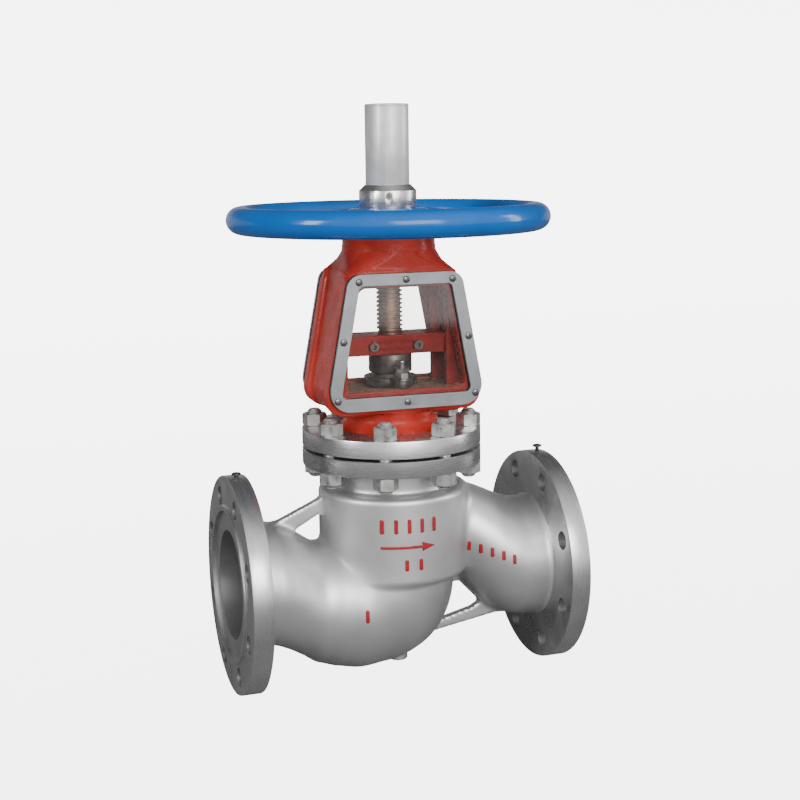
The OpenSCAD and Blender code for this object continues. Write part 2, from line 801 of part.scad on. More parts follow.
module handwheel_key() color("gray") at_axis() key_slot();

module handwheel() color("royalblue") at_axis() difference() {
    union() {
        translate([0, 0, wheel_z]) rotate_extrude() translate([wheel_r - rim_r, 0]) circle(r = rim_r);
        rod(wheel_hub_r, wheel_low_z, wheel_top_z);
        translate([0, 0, wheel_z])
            for (i = [0:spoke_count - 1])
                rotate(i * 360 / spoke_count) x_rod(spoke_r, wheel_hub_r - 10, wheel_r - rim_r);
    }
    rod(shank_r + line_fit, wheel_low_z - 1, wheel_top_z + 1);
    key_slot();
}

module lock_collar() color("gray") at_axis() difference() {
    union() {
        rod(tube_collar_r, wheel_top_z, tube_collar_top_z - collar_chamfer);
        translate([0, 0, tube_collar_top_z - collar_chamfer - eps])
            cylinder(r1 = tube_collar_r, r2 = tube_r + 1.5, h = collar_chamfer);
    }
    rod(shank_r + line_fit, wheel_top_z - 1, tube_low_z + 1);
    rod(tube_r + line_fit, tube_low_z, tube_collar_top_z + 1);
    rotate(setscrew_turn)
        translate([0, 0, setscrew_z]) x_rod(setscrew_r + line_fit, shank_r, tube_collar_r + 1);
}

module collar_setscrew() color("dimgray") at_axis()
    rotate(setscrew_turn) translate([0, 0, setscrew_z]) difference() {
        x_rod(setscrew_r, shank_r + 0.2, tube_collar_r + 1.5);
        translate([tube_collar_r - 1.5, 0, 0]) rotate([0, 90, 0]) cylinder(r = 2.3, h = 4, $fn = 6);
    }

module stem_tube() color("silver") at_axis() ring(tube_r, tube_r - tube_wall, tube_low_z, tube_top_z);

module tube_cap() color("silver") at_axis() {
    rod(tube_r - tube_wall - line_fit, tube_top_z - 8, tube_top_z + eps);
    rod(tube_r, tube_top_z, cap_top_z - 1);
    translate([0, 0, cap_top_z - 1 - eps]) cylinder(r1 = tube_r, r2 = tube_r - 1, h = 1 + eps);
}

valve_body();
seat_ring();
earthing_screws();
bonnet_gasket();
bonnet_yoke();
backseat_bush();
bonnet_studs();
bonnet_nuts_upper();
bonnet_nuts_lower();
packing_rings();
gland_follower();
gland_flange();
gland_studs();
gland_washers();
gland_nuts();
gland_lock_nuts();
window_gasket_front();
window_gasket_rear();
window_pane_front();
window_pane_rear();
window_frame_front();
window_frame_rear();
window_screws_front();
window_screws_rear();
bearing_cover();
lower_housing_washer();
lower_shaft_washer();
lower_cage();
lower_balls();
upper_housing_washer();
upper_shaft_washer();
upper_cage();
upper_balls();
stem();
guide_hub();
guide_clamp_front();
guide_clamp_rear();
guide_screws();
disc();
disc_nut();
stem_nut();
handwheel();
handwheel_key();
lock_collar();
collar_setscrew();
stem_tube();
tube_cap();
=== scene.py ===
import math

import bmesh
import bpy
import numpy as np
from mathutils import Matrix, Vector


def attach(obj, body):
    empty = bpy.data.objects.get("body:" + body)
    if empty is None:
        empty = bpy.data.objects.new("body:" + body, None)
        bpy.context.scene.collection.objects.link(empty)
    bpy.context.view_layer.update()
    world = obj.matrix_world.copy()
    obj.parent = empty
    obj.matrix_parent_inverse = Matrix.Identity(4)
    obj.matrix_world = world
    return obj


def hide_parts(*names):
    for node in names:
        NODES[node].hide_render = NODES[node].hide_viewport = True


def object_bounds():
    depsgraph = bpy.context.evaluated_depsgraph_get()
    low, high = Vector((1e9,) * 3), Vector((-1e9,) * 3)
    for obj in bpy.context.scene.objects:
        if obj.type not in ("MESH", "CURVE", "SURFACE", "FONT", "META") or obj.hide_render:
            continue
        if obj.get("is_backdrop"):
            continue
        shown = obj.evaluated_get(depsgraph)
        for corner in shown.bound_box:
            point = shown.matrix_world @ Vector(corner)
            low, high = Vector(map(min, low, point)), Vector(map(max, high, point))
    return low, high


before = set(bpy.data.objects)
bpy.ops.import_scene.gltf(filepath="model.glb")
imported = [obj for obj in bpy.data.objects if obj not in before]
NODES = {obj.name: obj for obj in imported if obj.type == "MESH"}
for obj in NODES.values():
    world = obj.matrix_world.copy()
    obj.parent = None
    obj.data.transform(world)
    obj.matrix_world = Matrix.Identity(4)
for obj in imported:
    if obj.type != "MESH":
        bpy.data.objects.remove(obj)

import openvdb
from mathutils import Matrix, Vector

CAD_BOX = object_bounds()

# Shapes are written in millimetres in the axis frame: the CAD frame with z measured
# from the pipe axis. to_frame() turns axis-frame points into the CAD frame in metres.
MM = 0.001
FLANGE_R = 150.0
PIPE_Z = FLANGE_R  # the valve stands on its end flanges


def to_frame(points):
    """Axis-frame points, in millimetres, as CAD-frame points in metres."""
    return (np.asarray(points, float) + np.array([0, 0, PIPE_Z])) * MM


# ------------------------------------------------------------------ mesh tools


def in_scene(name, data):
    """New object in the scene that shows that mesh, light or camera."""
    obj = bpy.data.objects.new(name, data)
    bpy.context.scene.collection.objects.link(obj)
    return obj


def new_object(name, verts, faces, materials, smooth_angle):
    """Object from axis-frame points, shaded smooth with creases past smooth_angle."""
    mesh = bpy.data.meshes.new(name)
    mesh.from_pydata(to_frame(verts).tolist(), [], [list(map(int, f)) for f in faces])
    mesh.validate()
    obj = in_scene(name, mesh)
    for material in materials:
        mesh.materials.append(material)
    soften(obj, smooth_angle)
    return obj


def frame_point(*point):
    """One axis-frame point in the CAD frame."""
    return Vector(to_frame(point))


def soften(obj, smooth_angle):
    """Smooth shading with creases past that angle."""
    obj.data.shade_smooth()
    obj.data.set_sharp_from_angle(angle=math.radians(smooth_angle))


ON_AXIS_R = 1e-3  # profile points on the axis get this radius and are welded into one


def lathe(name, profile, materials, segments, axis="z", smooth_angle=30, place=(0, 0, 0)):
    """Closed solid turned from a closed (radius, height) profile, about an axis through place."""
    profile = np.array(profile, float)
    turns = np.arange(segments) * 2 * math.pi / segments
    radius = np.maximum(profile[:, 0], ON_AXIS_R)
    x = radius[None, :] * np.cos(turns)[:, None]
    y = radius[None, :] * np.sin(turns)[:, None]
    z = np.broadcast_to(profile[:, 1], x.shape)
    points = np.stack([x, y, z], -1).reshape(-1, 3)
    if axis == "x":
        points = points[:, [2, 0, 1]]
    if axis == "y":
        points = points[:, [1, 2, 0]]
    count = len(profile)
    faces = []
    for i in range(segments):
        j = (i + 1) % segments
        for k in range(count):
            m = (k + 1) % count
            faces.append((i * count + k, j * count + k, j * count + m, i * count + m))
    obj = new_object(name, points + np.array(place), faces, materials, smooth_angle)
    weld(obj)
    return obj


def weld(obj):
    """Merge points that meet, drop what has no face and turn every face outwards."""
    distance = 1e-5
    bm = bmesh.new()
    bm.from_mesh(obj.data)
    bmesh.ops.remove_doubles(bm, verts=bm.verts, dist=distance)
    bmesh.ops.dissolve_degenerate(bm, dist=distance / 2, edges=bm.edges)
    loose = [edge for edge in bm.edges if not edge.link_faces]
    bmesh.ops.delete(bm, geom=loose, context="EDGES")
    bmesh.ops.recalc_face_normals(bm, faces=bm.faces)
    bm.to_mesh(obj.data)
    bm.free()


def rod_cutter(radius, low, high, place=(0, 0, 0), axis="z", segments=48):
    """Round bar that cuts a hole; its two ends may be given in either order."""
    low, high = sorted((low, high))
    profile = [(0, low), (radius, low), (radius, high), (0, high)]
    return lathe("cutter", profile, [STEEL_BORE], segments, axis, place=place)


def box_cutter(size, middle, turn=0.0, axis="Z", material=None):
    """Box of that size about its middle, turned about one of its own axes."""
    mesh = bpy.data.meshes.new("cutter")
    bm = bmesh.new()
    bmesh.ops.create_cube(bm, size=1)
    bmesh.ops.scale(bm, vec=[s * MM for s in size], verts=bm.verts)
    bm.to_mesh(mesh)
    bm.free()
    mesh.transform(Matrix.Translation(frame_point(*middle)) @ Matrix.Rotation(turn, 4, axis))
    mesh.materials.append(material or DARK)
    return in_scene("cutter", mesh)


def combine(obj, others, operation):
    """Boolean of obj with every mesh in others, which are used up."""
    for other in others:
        modifier = obj.modifiers.new("combine", "BOOLEAN")
        modifier.operation = operation
        modifier.solver = "MANIFOLD"
        modifier.material_mode = "TRANSFER"
        modifier.object = other
    depsgraph = bpy.context.evaluated_depsgraph_get()
    result = bpy.data.meshes.new_from_object(obj.evaluated_get(depsgraph), depsgraph=depsgraph)
    obj.modifiers.clear()
    obj.data = result
    for other in others:
        bpy.data.objects.remove(other)


def join(name, objects):
    """One object holding every mesh, each with its own material slot kept."""
    for other in bpy.context.selected_objects:
        other.select_set(False)
    for obj in objects:
        obj.select_set(True)
    bpy.context.view_layer.objects.active = objects[0]
    bpy.ops.object.join()
    objects[0].name = name
    objects[0].data.name = name
    return objects[0]


def stand_for(obj, body, node):
    """Put obj in place of a CAD node and let it ride on that node's body."""
    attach(obj, body)
    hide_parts(node)


# ------------------------------------------------------------- implicit solids
#
# A field is below zero inside its solid. The last number of a blend is its fillet, and
# the last length of a drum or plate is the radius of its rounded edges.


def blend_union(a, b, k):
    """Union of two fields with a fillet of about k millimetres."""
    h = np.clip(0.5 + 0.5 * (b - a) / k, 0, 1)
    return b * (1 - h) + a * h - k * h * (1 - h)


def blend_cut(a, b, k):
    """a less b, with the edge rounded by about k millimetres."""
    return -blend_union(-a, b, k)


def round_max(a, b, r):
    """Intersection of two fields with its edge rounded by r."""
    return np.minimum(np.maximum(a, b) + r, 0) + np.hypot(np.maximum(a + r, 0), np.maximum(b + r, 0)) - r


def drum(p, radius, low, high, edge, axis=2):
    """Field of a solid cylinder with rounded rims."""
    side = [i for i in range(3) if i != axis]
    past_side = np.hypot(p[..., side[0]], p[..., side[1]]) - radius
    past_end = np.abs(p[..., axis] - (low + high) / 2) - (high - low) / 2
    return round_max(past_side, past_end, edge)


def egg(p, centre, half):
    """Field of an ellipsoid, close to a true distance near its surface."""
    q = p - np.array(centre, float)
    size = np.linalg.norm(q / np.array(half, float), axis=-1)
    slope = np.linalg.norm(q / np.array(half, float) ** 2, axis=-1)
    return size * (size - 1) / np.maximum(slope, 1e-9)


def plate(outline_field, p, half, edge):
    """Field of a flat plate in the XZ plane, from its outline's field, with rounded edges."""
    return round_max(outline_field, np.abs(p[..., 1]) - half, edge)


def outline(x, z, corners):
    """Signed distance to a polygon in the XZ plane."""
    corners = np.array(corners, float)
    away = np.full(x.shape, 1e9)
    inside = np.zeros(x.shape, bool)
    for (x0, z0), (x1, z1) in zip(corners, np.roll(corners, -1, 0)):
        ex, ez = x1 - x0, z1 - z0
        wx, wz = x - x0, z - z0
        t = np.clip((wx * ex + wz * ez) / (ex * ex + ez * ez), 0, 1)
        away = np.minimum(away, np.hypot(wx - ex * t, wz - ez * t))
        crosses = (z0 <= z) != (z1 <= z)
        where = x0 + (z - z0) / (ez if ez else 1e-9) * ex
        inside ^= crosses & (x < where)
    return np.where(inside, -away, away)


def pulled_in(points, field, longest):
    """Points moved along the field's slope to where it is zero, each by that much at most."""
    step = 0.25
    ahead = [field(points + step * d) for d in np.eye(3)]
    behind = [field(points - step * d) for d in np.eye(3)]
    slope = np.stack([a - b for a, b in zip(ahead, behind)], -1) / (2 * step)
    steepness = np.maximum((slope * slope).sum(-1), 0.2)
    move = -(field(points) / steepness)[:, None] * slope
    length = np.linalg.norm(move, axis=-1, keepdims=True)
    return points + move * np.minimum(1, longest / np.maximum(length, 1e-9))


def solid_from_field(name, field, low, high, voxel, materials, smooth_angle):
    """Quad mesh of field < 0 in the box low..high, pulled onto the exact surface."""
    low, high = np.array(low, float), np.array(high, float)
    shape = np.ceil((high - low) / voxel).astype(int) + 1
    axes = [low[i] + voxel * np.arange(shape[i]) for i in range(3)]
    values = np.empty(tuple(shape), np.float32)
    layer = np.stack(np.meshgrid(axes[1], axes[2], indexing="ij"), -1)
    for i, x in enumerate(axes[0]):
        values[i] = field(np.concatenate([np.full(layer.shape[:2] + (1,), x), layer], -1))
    band = float(voxel * 3)
    grid = openvdb.FloatGrid(band)
    grid.copyFromArray(np.clip(values, -band, band))
    points, quads = grid.convertToQuads(isovalue=0.0)
    points = points.astype(float) * voxel + low
    for _ in range(3):
        points = pulled_in(points, field, voxel * 0.6)
    return new_object(name, points, quads, materials, smooth_angle)


# ------------------------------------------------------------------- materials


def set_stops(node, stops):
    """Fill a colour ramp with its (place, colour) stops."""
    elements = node.color_ramp.elements
    while len(elements) < len(stops):
        elements.new(0.5)
    for element, (place, colour) in zip(elements, stops):
        element.position = place
        element.color = (*colour, 1)


class Paint:
    """One procedural material, built up node by node; sheen is how strongly its surface mirrors."""

    def __init__(self, name, base, metallic=0.0, roughness=0.4, coat=0.0, sheen=0.5):
        self.material = bpy.data.materials.new(name)
        self.material.use_nodes = True
        self.tree = self.material.node_tree
        self.bsdf = self.tree.nodes["Principled BSDF"]
        self.bsdf.inputs["Base Color"].default_value = (*base, 1)
        self.bsdf.inputs["Metallic"].default_value = metallic
        self.bsdf.inputs["Roughness"].default_value = roughness
        self.bsdf.inputs["Coat Weight"].default_value = coat
        self.bsdf.inputs["Coat Roughness"].default_value = 0.08
        self.bsdf.inputs["Specular IOR Level"].default_value = sheen
        self.coords = self.tree.nodes.new("ShaderNodeTexCoord").outputs["Object"]
        self.bumps = None

    def node(self, kind, **inputs):
        """New node; in the names of its inputs an underscore stands for a space."""
        made = self.tree.nodes.new(kind)
        for key, value in inputs.items():
            made.inputs[key.replace("_", " ")].default_value = value
        return made

    def link(self, out, into):
        self.tree.links.new(out, into)

    def stretched(self, scale):
        """Object coordinates scaled per axis: a large number packs the grain closely."""
        mapping = self.node("ShaderNodeMapping")
        mapping.inputs["Scale"].default_value = scale
        self.link(self.coords, mapping.inputs["Vector"])
        return mapping.outputs["Vector"]

    def noise(self, scale, detail=3.0, vector=None, roughness=0.55):
        made = self.node("ShaderNodeTexNoise", Scale=scale, Detail=detail, Roughness=roughness)
        self.link(vector or self.coords, made.inputs["Vector"])
        return made.outputs["Fac"]

    def ramp(self, source, stops):
        """Colour that follows source through (place, colour) stops."""
        made = self.node("ShaderNodeValToRGB")
        set_stops(made, stops)
        self.link(source, made.inputs["Fac"])
        return made.outputs["Color"]

    def spread(self, source, low, high, from_low=0.3, from_high=0.7):
        """Number that runs from low to high while source runs over its own range."""
        limits = dict(From_Min=from_low, From_Max=from_high, To_Min=low, To_Max=high)
        made = self.node("ShaderNodeMapRange", **limits)
        self.link(source, made.inputs["Value"])
        return made.outputs["Result"]

    def colour(self, socket):
        self.link(socket, self.bsdf.inputs["Base Color"])

    def rough(self, socket):
        self.link(socket, self.bsdf.inputs["Roughness"])

    def bump(self, source, height, strength=1.0):
        """Adds a bump of that height in millimetres on top of any earlier one."""
        made = self.node("ShaderNodeBump", Strength=strength, Distance=height * MM)
        self.link(source, made.inputs["Height"])
        if self.bumps is not None:
            self.link(self.bumps, made.inputs["Normal"])
        self.bumps = made.outputs["Normal"]
        self.link(self.bumps, self.bsdf.inputs["Normal"])


def tone(grey, warm=0.0):
    """Grey of that brightness, leaning to red when warm is above zero and to blue below."""
    return (grey * (1 + warm), grey, grey * (1 - warm))


def cast_steel():
    """Bead-blasted cast stainless steel: fine grain, faint cloudy patches."""
    m = Paint("cast_steel", tone(0.62), metallic=0.85, roughness=0.42)
    clouds = m.noise(9, 4)
    m.colour(m.ramp(clouds, [(0.3, tone(0.55)), (0.55, tone(0.62)), (0.75, tone(0.67, 0.005))]))
    m.rough(m.spread(m.noise(14, 3), 0.36, 0.48))
    m.bump(m.noise(900, 2), 0.10)
    m.bump(m.noise(60, 3), 0.16)
    return m.material


def turned_steel(name="turned_steel", grey=0.56, rough=0.28, across=(30, 30, 2600)):
    """Machined steel: fine tool marks, packed closely along the axis turned about, with slight stains."""
    m = Paint(name, tone(grey), metallic=0.95, roughness=rough)
    marks = m.noise(1.0, 2, m.stretched(across))
    stains = m.noise(22, 4)
    m.colour(m.ramp(stains, [(0.3, tone(grey * 0.86)), (0.7, tone(grey * 1.08))]))
    m.rough(m.spread(marks, rough - 0.07, rough + 0.10))
    m.bump(marks, 0.03)
    return m.material


def zinc_plate():
    """Zinc-plated fasteners: pale, slightly blotched, with grime in places."""
    m = Paint("zinc_plate", tone(0.5, 0.015), metallic=0.85, roughness=0.33)
    blotch = m.noise(120, 4)
    m.colour(m.ramp(blotch, [(0.28, tone(0.27, 0.06)), (0.45, tone(0.46, 0.02)), (0.7, tone(0.56, 0.01))]))
    m.rough(m.spread(blotch, 0.26, 0.46))
    m.bump(m.noise(500, 2), 0.02)
    return m.material


def dark_steel():
    """Oiled dark steel with brown and grey patches."""
    m = Paint("dark_steel", tone(0.2), metallic=0.8, roughness=0.42)
    m.colour(m.ramp(m.noise(70, 4), [
        (0.3, (0.10, 0.085, 0.08)), (0.6, (0.20, 0.18, 0.165)), (0.8, (0.30, 0.27, 0.25)),
    ]))
    m.rough(m.spread(m.noise(110, 3), 0.32, 0.55))
    m.bump(m.noise(400, 2), 0.03)
    return m.material


def stem_steel():
    """Stem: bronze-brown steel under a film of grease."""
    m = Paint("stem_steel", (0.34, 0.21, 0.13), metallic=0.7, roughness=0.36, coat=0.1)
    m.colour(m.ramp(m.noise(60, 3), [(0.3, (0.20, 0.115, 0.07)), (0.7, (0.46, 0.30, 0.20))]))
    m.rough(m.spread(m.noise(150, 3), 0.25, 0.45))
    m.bump(m.noise(1.0, 2, m.stretched((40, 40, 1800))), 0.02)
    return m.material


def red_enamel(name="red_enamel", base=(0.37, 0.026, 0.017)):
    """Thick glossy orange-red enamel over a cast surface, with runs and uneven film."""
    m = Paint(name, base, metallic=0.0, roughness=0.30, coat=0.05, sheen=0.14)
    film = m.noise(16, 4)
    dark = tuple(c * 0.62 for c in base)
    pale = (min(1, base[0] * 1.18), base[1] * 1.9, base[2] * 2.2)
    m.colour(m.ramp(film, [(0.28, dark), (0.5, base), (0.74, pale)]))
    m.rough(m.spread(m.noise(40, 3), 0.2, 0.38))
    m.bump(m.noise(1.0, 3, m.stretched((55, 55, 16))), 0.9, 0.55)
    m.bump(m.noise(260, 2), 0.08)
    return m.material


def blue_enamel():
    """Smooth glossy blue enamel of the handwheel, with faint orange peel."""
    m = Paint("blue_enamel", (0.004, 0.085, 0.33), metallic=0.0, roughness=0.26, coat=0.22, sheen=0.25)
    m.colour(m.ramp(m.noise(7, 3), [(0.3, (0.003, 0.085, 0.33)), (0.7, (0.005, 0.112, 0.41))]))
    m.rough(m.spread(m.noise(30, 2), 0.17, 0.28))
    m.bump(m.noise(220, 2), 0.05)
    m.bump(m.noise(24, 2), 0.35, 0.6)
    return m.material


def frame_metal():
    """Grey brushed plate of the window frames."""
    m = Paint("frame_metal", tone(0.32, -0.04), metallic=0.8, roughness=0.4)
    brush = m.noise(1.0, 2, m.stretched((12, 400, 900)))
    m.colour(m.ramp(m.noise(26, 3), [(0.3, tone(0.27, -0.04)), (0.7, tone(0.36, -0.03))]))
    m.rough(m.spread(brush, 0.3, 0.5))
    m.bump(brush, 0.03)
    return m.material


def clear_acrylic():
    """Thin clear sheet: see-through with a very faint warm tint, a glossy face and smears."""
    m = Paint("clear_acrylic", (0.9, 0.95, 0.95), roughness=0.04)
    clear = m.node("ShaderNodeBsdfTransparent", Color=(0.965, 0.955, 0.95, 1))
    gloss = m.node("ShaderNodeBsdfGlossy", Roughness=0.05)
    smear = m.spread(m.noise(11, 3), 0.01, 0.035)
    facing = m.node("ShaderNodeFresnel", IOR=1.45)
    share = m.node("ShaderNodeMath")
    share.operation = "ADD"
    m.link(facing.outputs["Fac"], share.inputs[0])
    m.link(smear, share.inputs[1])
    mix = m.node("ShaderNodeMixShader")
    m.link(share.outputs[0], mix.inputs["Fac"])
    m.link(clear.outputs[0], mix.inputs[1])
    m.link(gloss.outputs[0], mix.inputs[2])
    m.tree.nodes.remove(m.bsdf)
    m.link(mix.outputs[0], m.tree.nodes["Material Output"].inputs["Surface"])
    return m.material


def black_rubber():
    """Matt black rubber."""
    m = Paint("black_rubber", tone(0.012), roughness=0.62)
    m.colour(m.ramp(m.noise(80, 3), [(0.3, tone(0.008)), (0.7, tone(0.022))]))
    m.rough(m.spread(m.noise(120, 3), 0.5, 0.75))
    m.bump(m.noise(700, 2), 0.05)
    return m.material


def braided_packing():
    """Dark graphite braid."""
    m = Paint("braided_packing", tone(0.05), metallic=0.2, roughness=0.6)
    weave = m.noise(1.0, 2, m.stretched((380, 380, 380)))
    m.colour(m.ramp(weave, [(0.35, tone(0.02)), (0.65, tone(0.09))]))
    m.bump(weave, 0.25)
    return m.material


def bronze():
    """Turned bronze with fine tool marks."""
    m = Paint("bronze", (0.50, 0.30, 0.10), metallic=0.95, roughness=0.32)
    m.colour(m.ramp(m.noise(40, 3), [(0.3, (0.36, 0.20, 0.065)), (0.7, (0.60, 0.38, 0.14))]))
    marks = m.noise(1.0, 2, m.stretched((40, 40, 2200)))
    m.rough(m.spread(marks, 0.24, 0.42))
    m.bump(marks, 0.03)
    return m.material


def galvanised_tube():
    """Drawn tube, galvanised: matt, with fine lines along it and pale blotches."""
    m = Paint("galvanised_tube", tone(0.55), metallic=0.45, roughness=0.42)
    lines = m.noise(1.0, 2, m.stretched((420, 420, 5)))
    m.colour(m.ramp(m.noise(45, 4), [(0.3, tone(0.48)), (0.6, tone(0.58)), (0.8, tone(0.66))]))
    m.rough(m.spread(lines, 0.34, 0.52))
    m.bump(lines, 0.03)
    m.bump(m.noise(500, 2), 0.03)
    return m.material


def oily_dust():
    """Brown-tan film of oil and dust on the floor inside the yoke."""
    m = Paint("oily_dust", (0.30, 0.19, 0.11), roughness=0.85)
    m.colour(m.ramp(m.noise(130, 5), [
        (0.3, (0.16, 0.075, 0.04)), (0.5, (0.33, 0.21, 0.12)), (0.75, (0.44, 0.32, 0.20)),
    ]))
    m.bump(m.noise(420, 3), 0.15)
    return m.material


def mark_paint():
    """Red paint brushed over the raised cast marks."""
    m = Paint("mark_paint", (0.34, 0.01, 0.016), roughness=0.4)
    m.colour(m.ramp(m.noise(240, 3), [
        (0.3, (0.20, 0.006, 0.010)), (0.6, (0.34, 0.010, 0.016)), (0.8, (0.42, 0.03, 0.03)),
    ]))
    m.bump(m.noise(500, 2), 0.08)
    return m.material


STEEL_CAST = cast_steel()
STEEL_TURNED = turned_steel()
STEEL_BORE = turned_steel("bore_steel", 0.42, 0.4)
STEEL_BRIGHT = turned_steel("bright_steel", 0.62, 0.22)
BEARING = turned_steel("bearing_steel", 0.66, 0.16)
ZINC = zinc_plate()
DARK = dark_steel()
STEM = stem_steel()
RED = red_enamel()
GUIDE_RED = red_enamel("guide_enamel", (0.33, 0.026, 0.020))
BLUE = blue_enamel()
FRAME_METAL = frame_metal()
ACRYLIC = clear_acrylic()
RUBBER = black_rubber()
PACKING = braided_packing()
BRONZE = bronze()
MARK = mark_paint()
SCREW = turned_steel("screw_steel", 0.16, 0.26, (900, 60, 60))
STEEL_FLANGE = turned_steel("flange_steel", 0.54, 0.3, (2400, 26, 26))
TUBE = galvanised_tube()
DUST = oily_dust()


# ------------------------------------------------------------------ valve body


def around(count, radius, first=0.0):
    """Places evenly spaced on a circle, the first at that many degrees."""
    turns = [math.radians(first + 360 * i / count) for i in range(count)]
    return [(radius * math.cos(t), radius * math.sin(t), 0) for t in turns]


# End flanges, along X
END_X = 240.0
RIM_OUT, RIM_IN = END_X - 3, END_X - 31
RAISED_R, RECESS_R, RECESS_H = 109.0, 102.0, 5.0
PORT_R, PORT_DEPTH = 75.0, 58.0
BOLT_CIRCLE, BOLT_R = 125.0, 13.0
EARTH_HOLE_R = 3.05

# Chamber, round flanges and their studs, along Z
CHAMBER_R, CHAMBER_TOP = 104.0, 123.0
NECK_R = 82.0
SEAT_HOLE_R, THROAT_R = 68.0, 61.0
BORE_R = 72.0
BODY_FLANGE = (156.0, 178.5)
BONNET_DISC = (182.5, 206.5)
BONNET_R = 125.0
STUD_CIRCLE, STUD_HOLE_R = 108.0, 11.0
STUD_PLACES = around(8, STUD_CIRCLE, 22.5)
GLAND_PLACES = around(2, 51, 90)

# Wall of the casting, and how far the cast marks stand out of it
SKIN = 12.0
MARK_H = 1.6

# Stations along a neck: x, height of its centre, half height, half width over half height
INLET = np.array([
    (-245, 0, 86, 1.0), (-205, 0, 86, 1.0), (-180, -4, 85.5, 1.0), (-160, -12, 85.5, 0.98),
    (-140, -23, 85.5, 0.97), (-118, -36, 86, 0.97), (-92, -39.5, 90, 0.99), (-60, -39.5, 95, 1.0),
    (-25, -35, 95, 1.0), (10, -28, 88, 1.0), (45, -8, 70, 1.0),
])
OUTLET = np.array([
    (40, 82, 40, 1.0), (75, 64, 56, 0.94), (100, 45.5, 72, 0.90), (123, 29.5, 80.5, 0.92),
    (143, 16, 85, 0.95), (162, 6.5, 86, 0.98), (182, 1, 85.5, 1.0), (205, 0, 85.5, 1.0), (245, 0, 86, 1.0),
])
BOWL_CENTRE = (-13.5, 0, -7.3)
BOWL_HALF = np.array([98.0, 98.0, 118.0])


def smooth_table(table, x):
    """Monotone cubic through the stations, one column at a time."""
    xs = table[:, 0]
    i = np.clip(np.searchsorted(xs, x) - 1, 0, len(xs) - 2)
    h = xs[i + 1] - xs[i]
    t = np.clip((x - xs[i]) / h, 0, 1)
    columns = []
    for y in table.T[1:]:
        rise = np.diff(y) / np.diff(xs)
        slope = np.zeros(len(xs))
        same = rise[:-1] * rise[1:] > 0
        slope[1:-1][same] = 2 * rise[:-1][same] * rise[1:][same] / (rise[:-1] + rise[1:])[same]
        a = (1 + 2 * t) * (1 - t) ** 2
        b = t * (1 - t) ** 2
        c = t * t * (3 - 2 * t)
        d = t * t * (t - 1)
        columns.append(a * y[i] + b * h * slope[i] + c * y[i + 1] + d * h * slope[i + 1])
    return columns


def swan_neck(p, table, low, high, inset=0.0):
    """Field of a curved neck whose upright sections follow the stations, less inset all round."""
    x = np.clip(p[..., 0], table[0, 0], table[-1, 0])
    centre, half, wide = smooth_table(table, x)
    step = 2.0
    tilt = (smooth_table(table, x + step)[0] - smooth_table(table, x - step)[0]) / (2 * step)
    lean = 1 / np.sqrt(1 + tilt * tilt)
    side = np.hypot(p[..., 1] / wide, p[..., 2] - centre) - half
    return np.maximum(side * lean + inset, np.maximum(low - p[..., 0], p[..., 0] - high))


# Flat webs in the XZ plane, each with a window: outline and window of each
LEFT_WEB = [(-196, 60), (-175, 80), (-98, 114.5), (-90, 60), (-100, 20), (-150, 30)]
LEFT_WINDOW = [(-140, 66), (-108, 84), (-106, 64), (-112, 46)]
RIGHT_WEB = [(40, -70), (48, -103), (62, -98.5), (165, -80.5), (175, -40), (110, 0), (80, -10)]
RIGHT_WINDOW = [(98, -34), (124, -62), (115, -67), (68, -79), (70, -34)]


def web_field(p, solid, window):
    """Web 14 thick, its window's corners rounded by 5."""
    x, z = p[..., 0], p[..., 2]
    return plate(np.maximum(outline(x, z, solid), 5 - outline(x, z, window)), p, 7, 1.5)


def casting_field(p):
    """Outside of the casting: chamber, bowl, both necks, flange stock, webs and bottom boss."""
    chamber = drum(p, CHAMBER_R, 0, CHAMBER_TOP, 8)
    chamber = blend_union(chamber, drum(p, NECK_R, 60, 170, 1), 7)
    chamber = blend_union(chamber, drum(p, BONNET_R - 3, BODY_FLANGE[0] + 3, BODY_FLANGE[1] - 3, 1), 7)
    bowl = blend_union(swan_neck(p, INLET, -230, 45), egg(p, BOWL_CENTRE, BOWL_HALF), 10)
    body = blend_union(chamber, bowl, 6)
    body = blend_union(body, swan_neck(p, OUTLET, 45, 230), 12)
    for side in (-1, 1):
        mirrored = p * np.array([side, 1, 1])
        body = blend_union(body, drum(mirrored, FLANGE_R - 4, RIM_IN + 3, RIM_OUT - 4, 1, axis=0), 11)
    webs = np.minimum(web_field(p, LEFT_WEB, LEFT_WINDOW), web_field(p, RIGHT_WEB, RIGHT_WINDOW))
    boss = drum(p - np.array([5, 0, 0]), 14, -135, -100, 2)
    return blend_union(blend_union(body, webs, 9), boss, 4)


# Generic raised marks in the XZ plane: a flow arrow and blank index bars
FLOW_ARROW = [(-48, 55), (8, 55), (8, 50.5), (27, 57), (8, 63.5), (8, 59), (-48, 59)]
MARK_BARS = [(x, 86, 2.6, 10) for x in (-46, -28, -10, 8, 26)] + [(x, 32, 2.6, 8) for x in (-14, 6)]
BOWL_BAR = [(-68, -36, 2.6, 9)]
NECK_BARS = [(92, 38, 2.4, 7), (107, 34, 2.4, 7), (122, 29, 2.4, 7), (137, 24, 2.4, 7), (152, 18, 2.4, 7)]


def bar_field(p, bars):
    """Rounded upright bars, each given as (x, z, half width, half height)."""
    return np.minimum.reduce([
        round_max(np.abs(p[..., 0] - x) - half_wide, np.abs(p[..., 2] - z) - half_high, 2)
        for x, z, half_wide, half_high in bars
    ])


def raised_marks(name, shape, low, high):
    """Low pads that follow the casting's surface inside the given outline."""
    def field(p):
        skin = casting_field(p)
        return round_max(np.maximum(skin - MARK_H, -skin - 1.5), shape(p), 0.7)
    return solid_from_field(name, field, low, high, 0.9, [MARK], 40)


